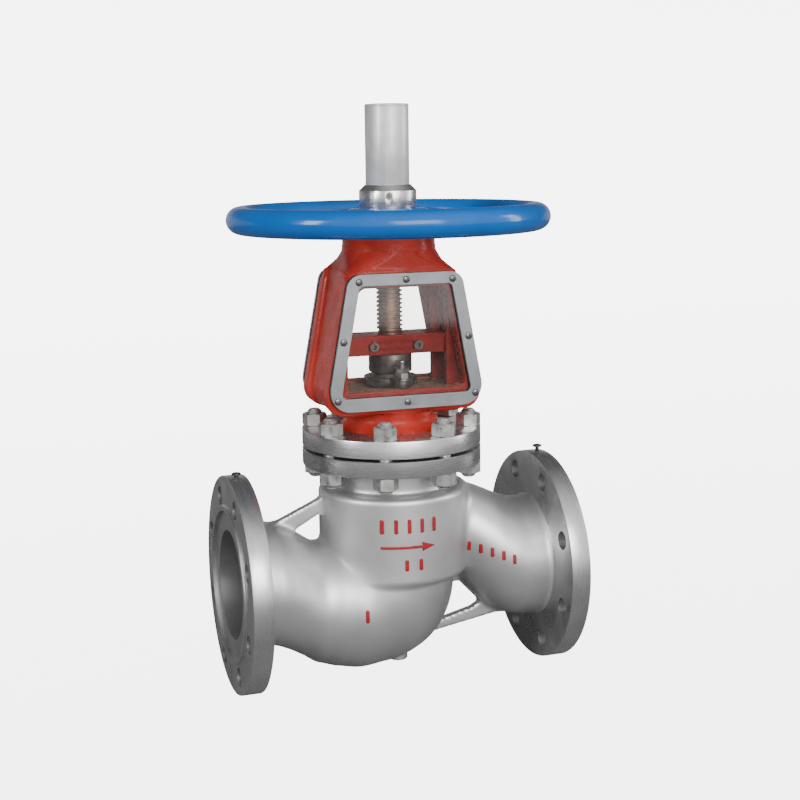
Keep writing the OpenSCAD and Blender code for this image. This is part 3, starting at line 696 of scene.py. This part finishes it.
def body_marks():
    """The marks on the front of the chamber, of the bowl and of the outlet neck."""
    def chamber(p):
        return np.minimum(outline(p[..., 0], p[..., 2], FLOW_ARROW), bar_field(p, MARK_BARS))

    return [
        raised_marks("chamber_marks", chamber, (-54, -110, 20), (33, -88, 100)),
        raised_marks("bowl_mark", lambda p: bar_field(p, BOWL_BAR), (-74, -101, -49), (-62, -84, -23)),
        raised_marks("neck_marks", lambda p: bar_field(p, NECK_BARS), (86, -94, 8), (158, -58, 48)),
    ]


def passage_field(p):
    """Flow space: under the seat from the inlet, over it to the outlet, joined by the seat bore."""
    bridge = drum(p, CHAMBER_R - 2, -8, CHAMBER_TOP, 4)
    bowl = blend_union(swan_neck(p, INLET, -235, 30, SKIN), egg(p, BOWL_CENTRE, BOWL_HALF - SKIN), 6)
    lower = blend_cut(bowl, bridge, 5)
    guard = np.minimum(egg(p, BOWL_CENTRE, BOWL_HALF), drum(p, CHAMBER_R, -90, 14, 2))
    outlet = blend_cut(swan_neck(p, OUTLET, 50, 235, SKIN), guard, 5)
    upper = np.minimum(drum(p, CHAMBER_R - SKIN - 2, 14, CHAMBER_TOP - SKIN - 2, 6), outlet)
    return np.minimum(np.minimum(lower, upper), drum(p, THROAT_R, -20, 20, 1))


def end_flange(side):
    """Machined flange ring with a raised face, its bevels and a rounded back edge."""
    profile = [
        (60, RIM_IN), (FLANGE_R - 1.5, RIM_IN), (FLANGE_R - 0.4, RIM_IN + 0.4), (FLANGE_R, RIM_IN + 1.5),
        (FLANGE_R, RIM_OUT - 1.5), (FLANGE_R - 0.4, RIM_OUT - 0.4), (FLANGE_R - 1.5, RIM_OUT),
        (RAISED_R + 1, RIM_OUT), (RAISED_R, RIM_OUT + 0.8), (RAISED_R, END_X - 0.6), (RAISED_R - 0.6, END_X),
        (RECESS_R, END_X), (60, END_X),
    ]
    return lathe("flange", [(r, side * x) for r, x in profile], [STEEL_FLANGE], 160, "x")


def end_cutters(side):
    """Port, recess, bolt holes and earthing screw's hole of the inlet (-1) or outlet (+1) end."""
    outside = side * (END_X + 5)
    cutters = [
        rod_cutter(PORT_R, outside, side * (END_X - PORT_DEPTH), axis="x", segments=128),
        rod_cutter(RECESS_R, outside, side * (END_X - RECESS_H), axis="x", segments=128),
    ]
    for i in range(8):
        turn = math.radians(22.5 + 45 * i)
        place = (0, BOLT_CIRCLE * math.cos(turn), BOLT_CIRCLE * math.sin(turn))
        cutters.append(rod_cutter(BOLT_R, side * (END_X + 2), side * (RIM_IN - 4), place, "x"))
    rim_middle = (side * (RIM_IN + RIM_OUT) / 2, 0, 0)
    cutters.append(rod_cutter(EARTH_HOLE_R, FLANGE_R - 14, FLANGE_R + 2, rim_middle))
    return cutters


def build_body():
    """Body casting with its machined faces, marks, holes and flow passages."""
    reach = END_X - 2
    body = solid_from_field(
        "valve_casting", casting_field, (-reach, -130, -FLANGE_R), (reach, 130, 182), 2.5, [STEEL_CAST], 30
    )
    low, high = BODY_FLANGE
    top_flange = lathe("top_flange", [
        (60, low), (BONNET_R - 1.6, low), (BONNET_R - 0.5, low + 0.4), (BONNET_R, low + 1.5),
        (BONNET_R, high - 1), (BONNET_R - 1, high), (60, high),
    ], [STEEL_TURNED], 160)
    combine(body, [end_flange(-1), end_flange(1), top_flange] + body_marks(), "UNION")
    passages = solid_from_field(
        "passages", passage_field, (-reach, -92, -130), (reach, 92, 125), 4, [STEEL_CAST], 40
    )
    cutters = [passages] + end_cutters(-1) + end_cutters(1)
    cutters.append(rod_cutter(BORE_R, 100, 190, segments=96))
    cutters.append(rod_cutter(SEAT_HOLE_R, 4, 40, segments=96))
    cutters += [rod_cutter(STUD_HOLE_R, low - 2, high + 2, place) for place in STUD_PLACES]
    combine(body, cutters, "DIFFERENCE")
    soften(body, 32)
    return body


stand_for(build_body(), "valve", "valve_body")

# ------------------------------------------------------------- bonnet and yoke

# The yoke's sides lean in by LEAN and are WAIST_HALF from the axis at WAIST_Z. Its faces are
# at YOKE_Y; the lips round the windows reach in from there to LIP_Y.
WAIST_Z, WAIST_HALF, LEAN = 340.0, 95.0, math.radians(10.5)
YOKE_Y, LIP_Y = 64.0, 42.0
BOX_LOW, BOX_HIGH = 234.0, 428.0
FOOT_R, FOOT_FLARE, FOOT_LOW, FOOT_HIGH = 63.5, 15.0, 200.0, 242.0
SHOULDER_HALF, SHOULDER_LOW, SHOULDER_RISE = 79.0, 425.0, 29.0
HUB_R, HUB_TOP = 64.0, 478.0
# Room inside the box, the windows into it and the rails that the stem's guide runs between
FLOOR_Z, CEILING_Z, SILL_Z, LINTEL_Z = 262.0, 412.0, 266.0, 405.0
RAIL_X, RAIL_Y, RAIL_HALF = 66.0, 30.1, 4.5

# Screws of one window frame: the places of one side and those in the middle, as (x, z)
WINDOW_HALF = [(66, 415), (88.5, 336), (98, 257)]
WINDOW_MIDDLE = [(0, 416.5), (0, 250.5)]
WINDOW_SCREWS = WINDOW_MIDDLE + [(s * x, z) for s in (-1, 1) for x, z in WINDOW_HALF]


def yoke_outline(p, inset, low, high, r_low, r_high):
    """Outline of the yoke front: sides that lean in, corners rounded."""
    z = p[..., 2]
    side = (np.abs(p[..., 0]) - WAIST_HALF - (WAIST_Z - z) * math.tan(LEAN)) * math.cos(LEAN) + inset
    return np.maximum(round_max(side, low - z, r_low), round_max(side, z - high, r_high))


def shoulder_section(p):
    """Section that turns from the box's rectangle into the hub's circle, its sides recessed."""
    x, y, z = np.abs(p[..., 0]), np.abs(p[..., 1]), p[..., 2]
    rise = np.clip((z - SHOULDER_LOW) / SHOULDER_RISE, 0, 1)
    rounder = rise ** 0.75
    half = SHOULDER_HALF + (HUB_R - SHOULDER_HALF) * rounder
    corner = 14 + (HUB_R - 14) * rounder
    recess = 5 * (1 - rise) * np.clip((LIP_Y + 4 - y) / 6, 0, 1)
    past_side = np.maximum(x - half + corner, 0)
    past_face = np.maximum(y - YOKE_Y + 0.4 + corner, 0)
    return np.hypot(past_side, past_face) - corner + recess


def yoke_box(p):
    """Box of the yoke: a lip round each window and a slightly smaller middle."""
    lip = yoke_outline(p, 0, BOX_LOW, BOX_HIGH, 30, 20)
    half = (YOKE_Y - LIP_Y) / 2
    away = np.array([0, LIP_Y + half, 0])
    lips = np.minimum(plate(lip, p - away, half, 3), plate(lip, p + away, half, 3))
    middle = plate(yoke_outline(p, 5, BOX_LOW - 4, BOX_HIGH - 1, 38, 16), p, LIP_Y + 8, 1)
    return blend_union(lips, middle, 6)


def yoke_field(p):
    """Yoke casting: flared foot, windowed box, shoulder and hub, hollow but for the guide rails."""
    x, y, z = p[..., 0], p[..., 1], p[..., 2]
    flare = FOOT_FLARE * np.clip((224 - z) / 18, 0, 1) ** 2.2
    foot = np.maximum(np.hypot(x, y) - (FOOT_R + flare), np.maximum(FOOT_LOW - z, z - FOOT_HIGH))
    shoulder = np.maximum(shoulder_section(p), np.abs(z - 438) - 20)
    hub = drum(p, HUB_R, 400, HUB_TOP, 1.5)
    solid = blend_union(blend_union(yoke_box(p), foot, 7), blend_union(shoulder, hub, 3), 5)
    window = np.maximum(yoke_outline(p, 20, SILL_Z, LINTEL_Z, 12, 10), np.abs(y) - 80)
    room = plate(yoke_outline(p, 10.5, FLOOR_Z, CEILING_Z, 12, 10), p, LIP_Y, 3)
    space = blend_union(window, room, 2)
    rail = round_max(RAIL_X + 5 - np.abs(x), np.abs(np.abs(y) - RAIL_Y) - RAIL_HALF, 2)
    return blend_cut(solid, np.maximum(space, -rail), 2.5)


def build_bonnet():
    """Bonnet: its machined disc and painted yoke in one, with every bore and tapped hole."""
    low, high = BONNET_DISC
    spigot_r = BORE_R - 0.1
    disc = lathe("bonnet_disc", [
        (40, 170), (spigot_r - 0.5, 170), (spigot_r, 171), (spigot_r, low), (BONNET_R - 1, low),
        (BONNET_R, low + 1), (BONNET_R, high - 1.6), (BONNET_R - 0.5, high - 0.4), (BONNET_R - 1.8, high),
        (40, high),
    ], [STEEL_TURNED], 160)
    yoke = solid_from_field(
        "yoke_casting", yoke_field, (-128, -70, 203), (128, 70, 482), 2.2, [RED], 40
    )
    combine(yoke, [disc], "UNION")
    cutters = [
        rod_cutter(27.5, 165, 200), rod_cutter(19, 199, 213), rod_cutter(28, 212, FLOOR_Z + 2),
        rod_cutter(26, CEILING_Z - 4, 432), rod_cutter(39.05, 431, HUB_TOP + 2, segments=96),
    ]
    cutters += [rod_cutter(STUD_HOLE_R, low - 2, high + 2, place) for place in STUD_PLACES]
    cutters += [rod_cutter(6.02, 242, 270, place) for place in GLAND_PLACES]
    cutters += [rod_cutter(3.02, HUB_TOP - 12, HUB_TOP + 2, place) for place in around(4, 50, 45)]
    cutters += [
        rod_cutter(2.52, side * (YOKE_Y + 1), side * (YOKE_Y - 6), (x, 0, z), "y", 20)
        for side in (-1, 1) for x, z in WINDOW_SCREWS
    ]
    combine(yoke, cutters, "DIFFERENCE")
    lay_dust(yoke)
    soften(yoke, 38)
    return yoke


def lay_dust(yoke):
    """Oily brown film on the floor and sills inside the yoke."""
    yoke.data.materials.append(DUST)
    film = len(yoke.data.materials) - 1
    for face in yoke.data.polygons:
        height = face.center.z / MM - PIPE_Z
        inside = FLOOR_Z - 7 < height < SILL_Z + 2 and abs(face.center.y) < (YOKE_Y - 2) * MM
        painted = yoke.data.materials[face.material_index] == RED
        if painted and inside and face.normal.z > 0.7:
            face.material_index = film


stand_for(build_bonnet(), "valve", "bonnet_yoke")

# ------------------------------------------------------------ threads and nuts


THREAD_DEPTH = 0.55  # of the pitch


def thread_rings(radius, pitch, low, high):
    """Outline points of a threaded length, drawn as rings, from low to high."""
    root = radius - pitch * THREAD_DEPTH
    points = []
    z = low
    while z + pitch <= high + 0.01:
        points += [(root, z), (root, z + pitch * 0.12)]
        points += [(radius, z + pitch * 0.44), (radius, z + pitch * 0.62)]
        z += pitch
    return points + [(root, z)]


def stud_profile(radius, pitch, low, high, plain_low, plain_high):
    """Stud threaded at both ends, with a plain middle and rounded tips."""
    core = radius - pitch * THREAD_DEPTH
    tip = 1.4
    points = [(0, low), (core - 1.6, low), (core - 0.4, low + tip)]
    if plain_low > low:
        points += thread_rings(radius, pitch, low + tip, plain_low)
    points += [(radius, plain_low + 0.5), (radius, plain_high - 0.5)]
    points += thread_rings(radius, pitch, plain_high, high - tip)
    return points + [(core - 0.4, high - tip), (core - 1.6, high), (0, high)]


def studs(name, places, profile):
    """One stud of that profile at each place."""
    return join(name, [lathe("stud", profile, [ZINC], 32, place=p, smooth_angle=25) for p in places])


def nut(flats, hole_r, low, high, place, turn):
    """Hexagon nut with both faces chamfered and a countersunk hole."""
    corner = flats / math.sqrt(3)
    face_r = flats / 2 - 0.4
    chamfer = (corner - flats / 2) * 0.62
    sink = 1.2
    blank = lathe("nut", [(0, low), (corner, low), (corner, high), (0, high)], [ZINC], 6, place=place)
    middle = frame_point(*place)
    turned = Matrix.Translation(middle) @ Matrix.Rotation(turn, 4, "Z") @ Matrix.Translation(-middle)
    blank.data.transform(turned)
    bound = lathe("bound", [
        (0, low - 1), (face_r - 0.2, low - 0.2), (face_r, low), (corner + 0.3, low + chamfer),
        (corner + 0.3, high - chamfer), (face_r, high), (face_r - 0.2, high + 0.2), (0, high + 1),
    ], [ZINC], 48, place=place)
    hole = lathe("hole", [
        (0, low - 2), (hole_r + sink, low - 2), (hole_r + sink, low), (hole_r, low + sink),
        (hole_r, high - sink), (hole_r + sink, high), (hole_r + sink, high + 2), (0, high + 2),
    ], [ZINC], 32, place=place)
    combine(blank, [bound], "INTERSECT")
    combine(blank, [hole], "DIFFERENCE")
    soften(blank, 25)
    return blank


def nuts(name, places, flats, hole_r, low, high, first_turn):
    """A nut at each place, each left at its own angle by the spanner."""
    made = [nut(flats, hole_r, low, high, p, first_turn + 0.83 * i) for i, p in enumerate(places)]
    return join(name, made)


# Studs: radius, pitch, low, high, plain length's low and high.
# Nuts: width across flats, hole radius, low, high, turn of the first.
for fasteners, node in (
    (studs("bonnet_stud_set", STUD_PLACES, stud_profile(10, 2.5, 133, 229.5, 158, 205)), "bonnet_studs"),
    (nuts("upper_nut_set", STUD_PLACES, 30, 10.02, 206.5, 223.5, 0.3), "bonnet_nuts_upper"),
    (nuts("lower_nut_set", STUD_PLACES, 30, 10.02, 139, 156, 0.9), "bonnet_nuts_lower"),
    (studs("gland_stud_set", GLAND_PLACES, stud_profile(6, 1.75, 242, 305, 243, 267)), "gland_studs"),
    (nuts("gland_nut_set", GLAND_PLACES, 18, 6.02, 279, 288, 0.3), "gland_nuts"),
    (nuts("gland_lock_nut_set", GLAND_PLACES, 18, 6.02, 288, 294, 0.7), "gland_lock_nuts"),
):
    stand_for(fasteners, "valve", node)

# ---------------------------------------------------------------------- screws


def pan_screw(x, z, side, turn):
    """Cross-recessed pan-head screw of a window, on the front (-1) or rear (+1)."""
    seat, shank_r, end = YOKE_Y + 10.55, 2.48, YOKE_Y - 5.8
    top = seat + 2.75
    profile = [
        (0, end), (2.0, end), (shank_r, end + 0.8), (shank_r, seat), (4.5, seat), (4.75, seat + 0.35),
        (4.7, seat + 1.25), (4.2, seat + 2.05), (3.1, seat + 2.55), (0, top),
    ]
    screw = lathe("screw", [(r, side * y) for r, y in profile], [SCREW], 32, "y", place=(x, 0, z))
    recess, arm = (
        box_cutter((5.2, 2.4, 1.1), (x, side * top, z), turn + quarter, "Y") for quarter in (0, math.pi / 2)
    )
    combine(recess, [arm], "UNION")
    combine(screw, [recess], "DIFFERENCE")
    soften(screw, 30)
    return screw


for side, where in ((-1, "front"), (1, "rear")):
    heads = [pan_screw(x, z, side, 0.5 * i) for i, (x, z) in enumerate(WINDOW_SCREWS)]
    stand_for(join(f"pan_screws_{where}", heads), "valve", f"window_screws_{where}")


def earthing_screw(side, stand):
    """Round-head earthing screw in a flange rim, slotted across, whose head stands out by stand."""
    x = side * (RIM_IN + RIM_OUT) / 2
    end, top = FLANGE_R - 12, FLANGE_R + stand
    profile = [(0, end)] + thread_rings(3, 1, end, top - 3.6) + [
        (6.1, top - 3.5), (6.5, top - 3.1), (6.5, top - 1.6), (5.4, top - 0.5), (3.4, top), (0, top),
    ]
    screw = lathe("earthing", profile, [SCREW], 40, place=(x, 0, 0), smooth_angle=25)
    combine(screw, [box_cutter((20, 1.4, 2.4), (x, 0, top), 0.6 * side)], "DIFFERENCE")
    soften(screw, 25)
    return screw


earths = join("earthing_screw_pair", [earthing_screw(-1, 6.5), earthing_screw(1, 11)])
stand_for(earths, "valve", "earthing_screws")

# ------------------------------------------------------------------------ stem

STEM_R, STEM_ROOT, STEM_TOP, LEAD = 18.0, 15.2, 590.0, 6.0
THREAD_LOW = 340.0


def left_hand_thread(low, high):
    """The stem's threaded length as a solid rod with a true left-hand trapezoidal thread."""
    segments = 72
    marks = [(0.0, STEM_R), (0.36, STEM_R), (0.48, STEM_ROOT), (0.88, STEM_ROOT)]
    rows = [(k + f, r) for k in range(-1, int((high - low) / LEAD) + 2) for f, r in marks]
    points, faces = [], []
    for i in range(segments):
        turn = 2 * math.pi * i / segments
        for pitch_no, r in rows:
            z = min(max(low + LEAD * (pitch_no - i / segments) + LEAD, low), high)
            points.append((r * math.cos(turn), r * math.sin(turn), z))
    count = len(rows)
    for i in range(segments):
        j, shift = (i + 1, 0) if i + 1 < segments else (0, -len(marks))
        for k in range(count - 1):
            a, b = k + shift, k + 1 + shift
            if 0 <= a and b < count:
                faces.append((i * count + k, j * count + a, j * count + b, i * count + k + 1))
    obj = new_object("thread", points, faces, [STEM], 40)
    close_ends(obj, low, high)
    return obj


def close_ends(obj, low, high):
    """Trim the thread flat, 1 mm short of each end, and cap it."""
    bm = bmesh.new()
    bm.from_mesh(obj.data)
    bmesh.ops.remove_doubles(bm, verts=bm.verts, dist=1e-6)
    for z, sign in ((low + 1, -1), (high - 1, 1)):
        plane = frame_point(0, 0, z)
        everything = list(bm.verts) + list(bm.edges) + list(bm.faces)
        cut = dict(plane_co=plane, plane_no=(0, 0, sign), clear_outer=True)
        bmesh.ops.bisect_plane(bm, geom=everything, dist=1e-7, **cut)
        rim = [e for e in bm.edges if e.is_boundary and abs(e.verts[0].co.z - plane.z) < 1e-6]
        bmesh.ops.edgeloop_fill(bm, edges=rim)
    bmesh.ops.recalc_face_normals(bm, faces=bm.faces)
    bm.to_mesh(obj.data)
    bm.free()


def build_stem():
    """Stem: its foot in the disc, the back-seat collar, the smooth shank, the thread and a tip."""
    shaft = lathe("valve_stem", [
        (0, 25), (21.2, 25), (22, 25.8), (22, 32.2), (21.2, 33), (STEM_R, 33), (STEM_R, 117.5), (23.5, 118),
        (24, 118.5), (24, 125), (STEM_R, 131), (STEM_R, THREAD_LOW - 2.5), (STEM_ROOT, THREAD_LOW),
        (STEM_ROOT, THREAD_LOW + 2), (14, THREAD_LOW + 3), (0, THREAD_LOW + 3),
    ], [STEM], 72)
    threaded = left_hand_thread(THREAD_LOW, STEM_TOP - 3)
    tip_r = STEM_ROOT - 0.1
    tip = lathe("tip", [
        (0, STEM_TOP - 6), (tip_r, STEM_TOP - 6), (tip_r, STEM_TOP - 0.6),
        (tip_r - 0.6, STEM_TOP), (0, STEM_TOP),
    ], [STEM], 72)
    combine(shaft, [threaded, tip], "UNION")
    soften(shaft, 30)
    return shaft


stand_for(build_stem(), "stem", "stem")

# ------------------------------------------------------------------- handwheel

WHEEL_R, RIM_R, WHEEL_Z = 204.0, 18.5, 496.0
SPOKES = 5
HUB_BORE_R = 22.02


def spoke(turn):
    """Round spoke that swells where it meets hub and rim."""
    stations = [(44, 14), (58, 12.6), (75, 10.6), (110, 9.6), (150, 9.2), (178, 10.4), (190, 13), (200, 14)]
    profile = [(0, stations[0][0])] + [(r, x) for x, r in stations] + [(0, stations[-1][0])]
    arm = lathe("arm", profile, [BLUE], 40, "x", 60, (0, 0, WHEEL_Z))
    arm.data.transform(Matrix.Rotation(turn, 4, "Z"))
    return arm


def build_handwheel():
    """Handwheel: round rim, spokes and a hub with its bore and keyway."""
    turns = np.arange(36) * 2 * math.pi / 36
    section = [(WHEEL_R + RIM_R * math.cos(t), WHEEL_Z + RIM_R * math.sin(t)) for t in turns]
    rim = lathe("handwheel_casting", section, [BLUE], 192, smooth_angle=60)
    hub = lathe("hub", [
        (15, 486), (55, 486), (57, 488), (57, 505), (54.5, 507.6), (50, 509), (15, 509),
    ], [BLUE], 96)
    combine(rim, [hub] + [spoke(2 * math.pi * i / SPOKES) for i in range(SPOKES)], "UNION")
    keyway = box_cutter((8, 10, 21), (22, 0, 497.5), material=STEEL_BORE)
    combine(rim, [rod_cutter(HUB_BORE_R, 480, 515), keyway], "DIFFERENCE")
    soften(rim, 35)
    return rim


stand_for(build_handwheel(), "handwheel", "handwheel")

# ----------------------------------------------- nodes that keep the CAD shape


def dress(name, material, bevel):
    """Give a CAD node its material, and break its sharp edges with a bevel of that width."""
    node = NODES[name]
    node.data.materials.clear()
    node.data.materials.append(material)
    if bevel:
        merge = node.modifiers.new("merge", "WELD")
        merge.merge_threshold = 2e-6
        edge = node.modifiers.new("bevel", "BEVEL")
        edge.width = bevel * MM
        edge.segments = 2
        edge.limit_method = "ANGLE"
        edge.angle_limit = math.radians(40)
        edge.harden_normals = True


DRESSED = (
    ("seat_ring", STEEL_BRIGHT, 0.4), ("bonnet_gasket", RUBBER, 0.3), ("backseat_bush", BRONZE, 0.4),
    ("packing_rings", PACKING, 0.8), ("gland_follower", DARK, 0.6), ("gland_flange", DARK, 0.8),
    ("gland_washers", ZINC, 0.3), ("window_gasket_front", RUBBER, 0.3), ("window_gasket_rear", RUBBER, 0.3),
    ("window_pane_front", ACRYLIC, 0.4), ("window_pane_rear", ACRYLIC, 0.4),
    ("window_frame_front", FRAME_METAL, 0.6), ("window_frame_rear", FRAME_METAL, 0.6),
    ("bearing_cover", DARK, 0.6),
    ("lower_housing_washer", BEARING, 0.3), ("upper_housing_washer", BEARING, 0.3),
    ("lower_shaft_washer", BEARING, 0.3), ("upper_shaft_washer", BEARING, 0.3),
    ("lower_cage", BRONZE, 0.2), ("upper_cage", BRONZE, 0.2),
    ("lower_balls", BEARING, 0), ("upper_balls", BEARING, 0),
    ("guide_hub", DARK, 1.2), ("guide_clamp_front", GUIDE_RED, 0.8), ("guide_clamp_rear", GUIDE_RED, 0.8),
    ("guide_screws", DARK, 0.4), ("disc", STEEL_BRIGHT, 0.6), ("disc_nut", STEEL_TURNED, 0.6),
    ("stem_nut", BRONZE, 0.5), ("handwheel_key", STEEL_BORE, 0.3), ("lock_collar", STEEL_TURNED, 0.7),
    ("collar_setscrew", DARK, 0.2), ("stem_tube", TUBE, 0.4), ("tube_cap", TUBE, 0.3),
)
for name, material, bevel in DRESSED:
    dress(name, material, bevel)

# ---------------------------------------------------------------------- stage


def backdrop():
    """Pale floor that sweeps up into a wall far behind, in metres."""
    wall_y, bend_r, wall_top, half_wide, drop = 4.5, 2, 6.0, 7, 0.0005
    bend_y = wall_y - bend_r
    turns = np.linspace(0.1, math.pi / 2, 14)
    curve = [(-4.0, 0.0), (bend_y, 0.0)]
    curve += [(bend_y + bend_r * math.sin(t), bend_r - bend_r * math.cos(t)) for t in turns]
    curve += [(wall_y, wall_top)]
    verts = [(x, y, z - drop) for y, z in curve for x in (-half_wide, half_wide)]
    faces = [(2 * i, 2 * i + 1, 2 * i + 3, 2 * i + 2) for i in range(len(curve) - 1)]
    mesh = bpy.data.meshes.new("backdrop")
    mesh.from_pydata(verts, [], faces)
    mesh.shade_smooth()
    mesh.materials.append(backdrop_paper())
    in_scene("backdrop", mesh)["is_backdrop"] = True


def backdrop_paper():
    """White paper that only the camera sees glowing, so that it keeps the picture's ground
    pale without lighting the valve from below."""
    paper = Paint("paper", tone(0.7), roughness=0.8)
    place = paper.node("ShaderNodeSeparateXYZ")
    paper.link(paper.coords, place.inputs["Vector"])
    height = paper.spread(place.outputs["Z"], 0, 1, 0, 4)
    paper.colour(paper.ramp(height, [
        (0.0, tone(0.16)), (0.04, tone(0.50)), (0.25, tone(0.48)), (0.5, tone(0.06)),
    ]))
    glow = paper.node("ShaderNodeMath")
    glow.operation = "MULTIPLY"
    paper.link(paper.node("ShaderNodeLightPath").outputs["Is Camera Ray"], glow.inputs[0])
    paper.link(paper.spread(place.outputs["Y"], 5.0, 6.0, -0.3, 2.2), glow.inputs[1])
    paper.link(glow.outputs[0], paper.bsdf.inputs["Emission Strength"])
    paper.bsdf.inputs["Emission Color"].default_value = (1, 1, 1, 1)
    return paper.material


def softbox(name, place, target, size, power):
    """Rectangular area light that faces its target."""
    light = bpy.data.lights.new(name, "AREA")
    light.shape = "RECTANGLE"
    light.size, light.size_y = size
    light.energy = power
    obj = in_scene(name, light)
    obj.location = place
    obj.rotation_euler = (Vector(target) - Vector(place)).to_track_quat("-Z", "Y").to_euler()


# Direction that the sky is brightest in, and its brightness from behind (0) to there (1)
SKY_FRONT = (0.15, -0.95, 0.20)
SKY_STOPS = [(0.0, 0.04), (0.40, 0.08), (0.62, 0.36), (0.80, 1.2), (1.0, 1.6)]


def studio_sky():
    """Soft grey surround, bright in front of the valve and dark behind and below it."""
    world = bpy.data.worlds.new("studio")
    bpy.context.scene.world = world
    world.use_nodes = True
    nodes, links = world.node_tree.nodes, world.node_tree.links
    coords = nodes.new("ShaderNodeTexCoord")
    facing = nodes.new("ShaderNodeVectorMath")
    facing.operation = "DOT_PRODUCT"
    facing.inputs[1].default_value = Vector(SKY_FRONT).normalized()
    ramp = nodes.new("ShaderNodeValToRGB")
    set_stops(ramp, [(place, tone(grey)) for place, grey in SKY_STOPS])
    shift = nodes.new("ShaderNodeMapRange")
    shift.inputs["From Min"].default_value = -1
    links.new(coords.outputs["Generated"], facing.inputs[0])
    links.new(facing.outputs["Value"], shift.inputs["Value"])
    links.new(shift.outputs["Result"], ramp.inputs["Fac"])
    links.new(ramp.outputs["Color"], nodes["Background"].inputs["Color"])
    nodes["Background"].inputs["Strength"].default_value = 1.0


def photo_camera():
    """Camera a little left of and above the valve, close to level."""
    yaw, pitch, roll = (math.radians(a) for a in (17.585, -7.875, -0.931))
    ahead = Vector((math.sin(yaw) * math.cos(pitch), math.cos(yaw) * math.cos(pitch), math.sin(pitch)))
    level = Vector((math.cos(yaw), -math.sin(yaw), 0))
    upright = level.cross(ahead)
    right = level * math.cos(roll) + upright * math.sin(roll)
    up = upright * math.cos(roll) - level * math.sin(roll)
    data = bpy.data.cameras.new("camera")
    data.sensor_width = 36
    data.lens = 63.70
    data.shift_x, data.shift_y = 0.0301, -0.0639
    camera = in_scene("camera", data)
    turn = Matrix((right, up, -ahead)).transposed().to_4x4()
    camera.matrix_world = Matrix.Translation(frame_point(-608.8, -1856.2, 583.9)) @ turn
    bpy.context.scene.camera = camera


backdrop()
studio_sky()
softbox("key", (0.1, -3.0, 1.5), (0, 0, 0.30), (1.8, 1.4), 68)
softbox("left", (-2.6, -0.9, 1.5), (0, 0, 0.5), (0.6, 1.2), 48)
softbox("right", (2.7, -0.6, 1.2), (0, 0, 0.4), (0.5, 1.6), 24)
photo_camera()

boxes = {"cad": CAD_BOX, "visual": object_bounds()}
{name: [list(corner) for corner in box] for name, box in boxes.items()}
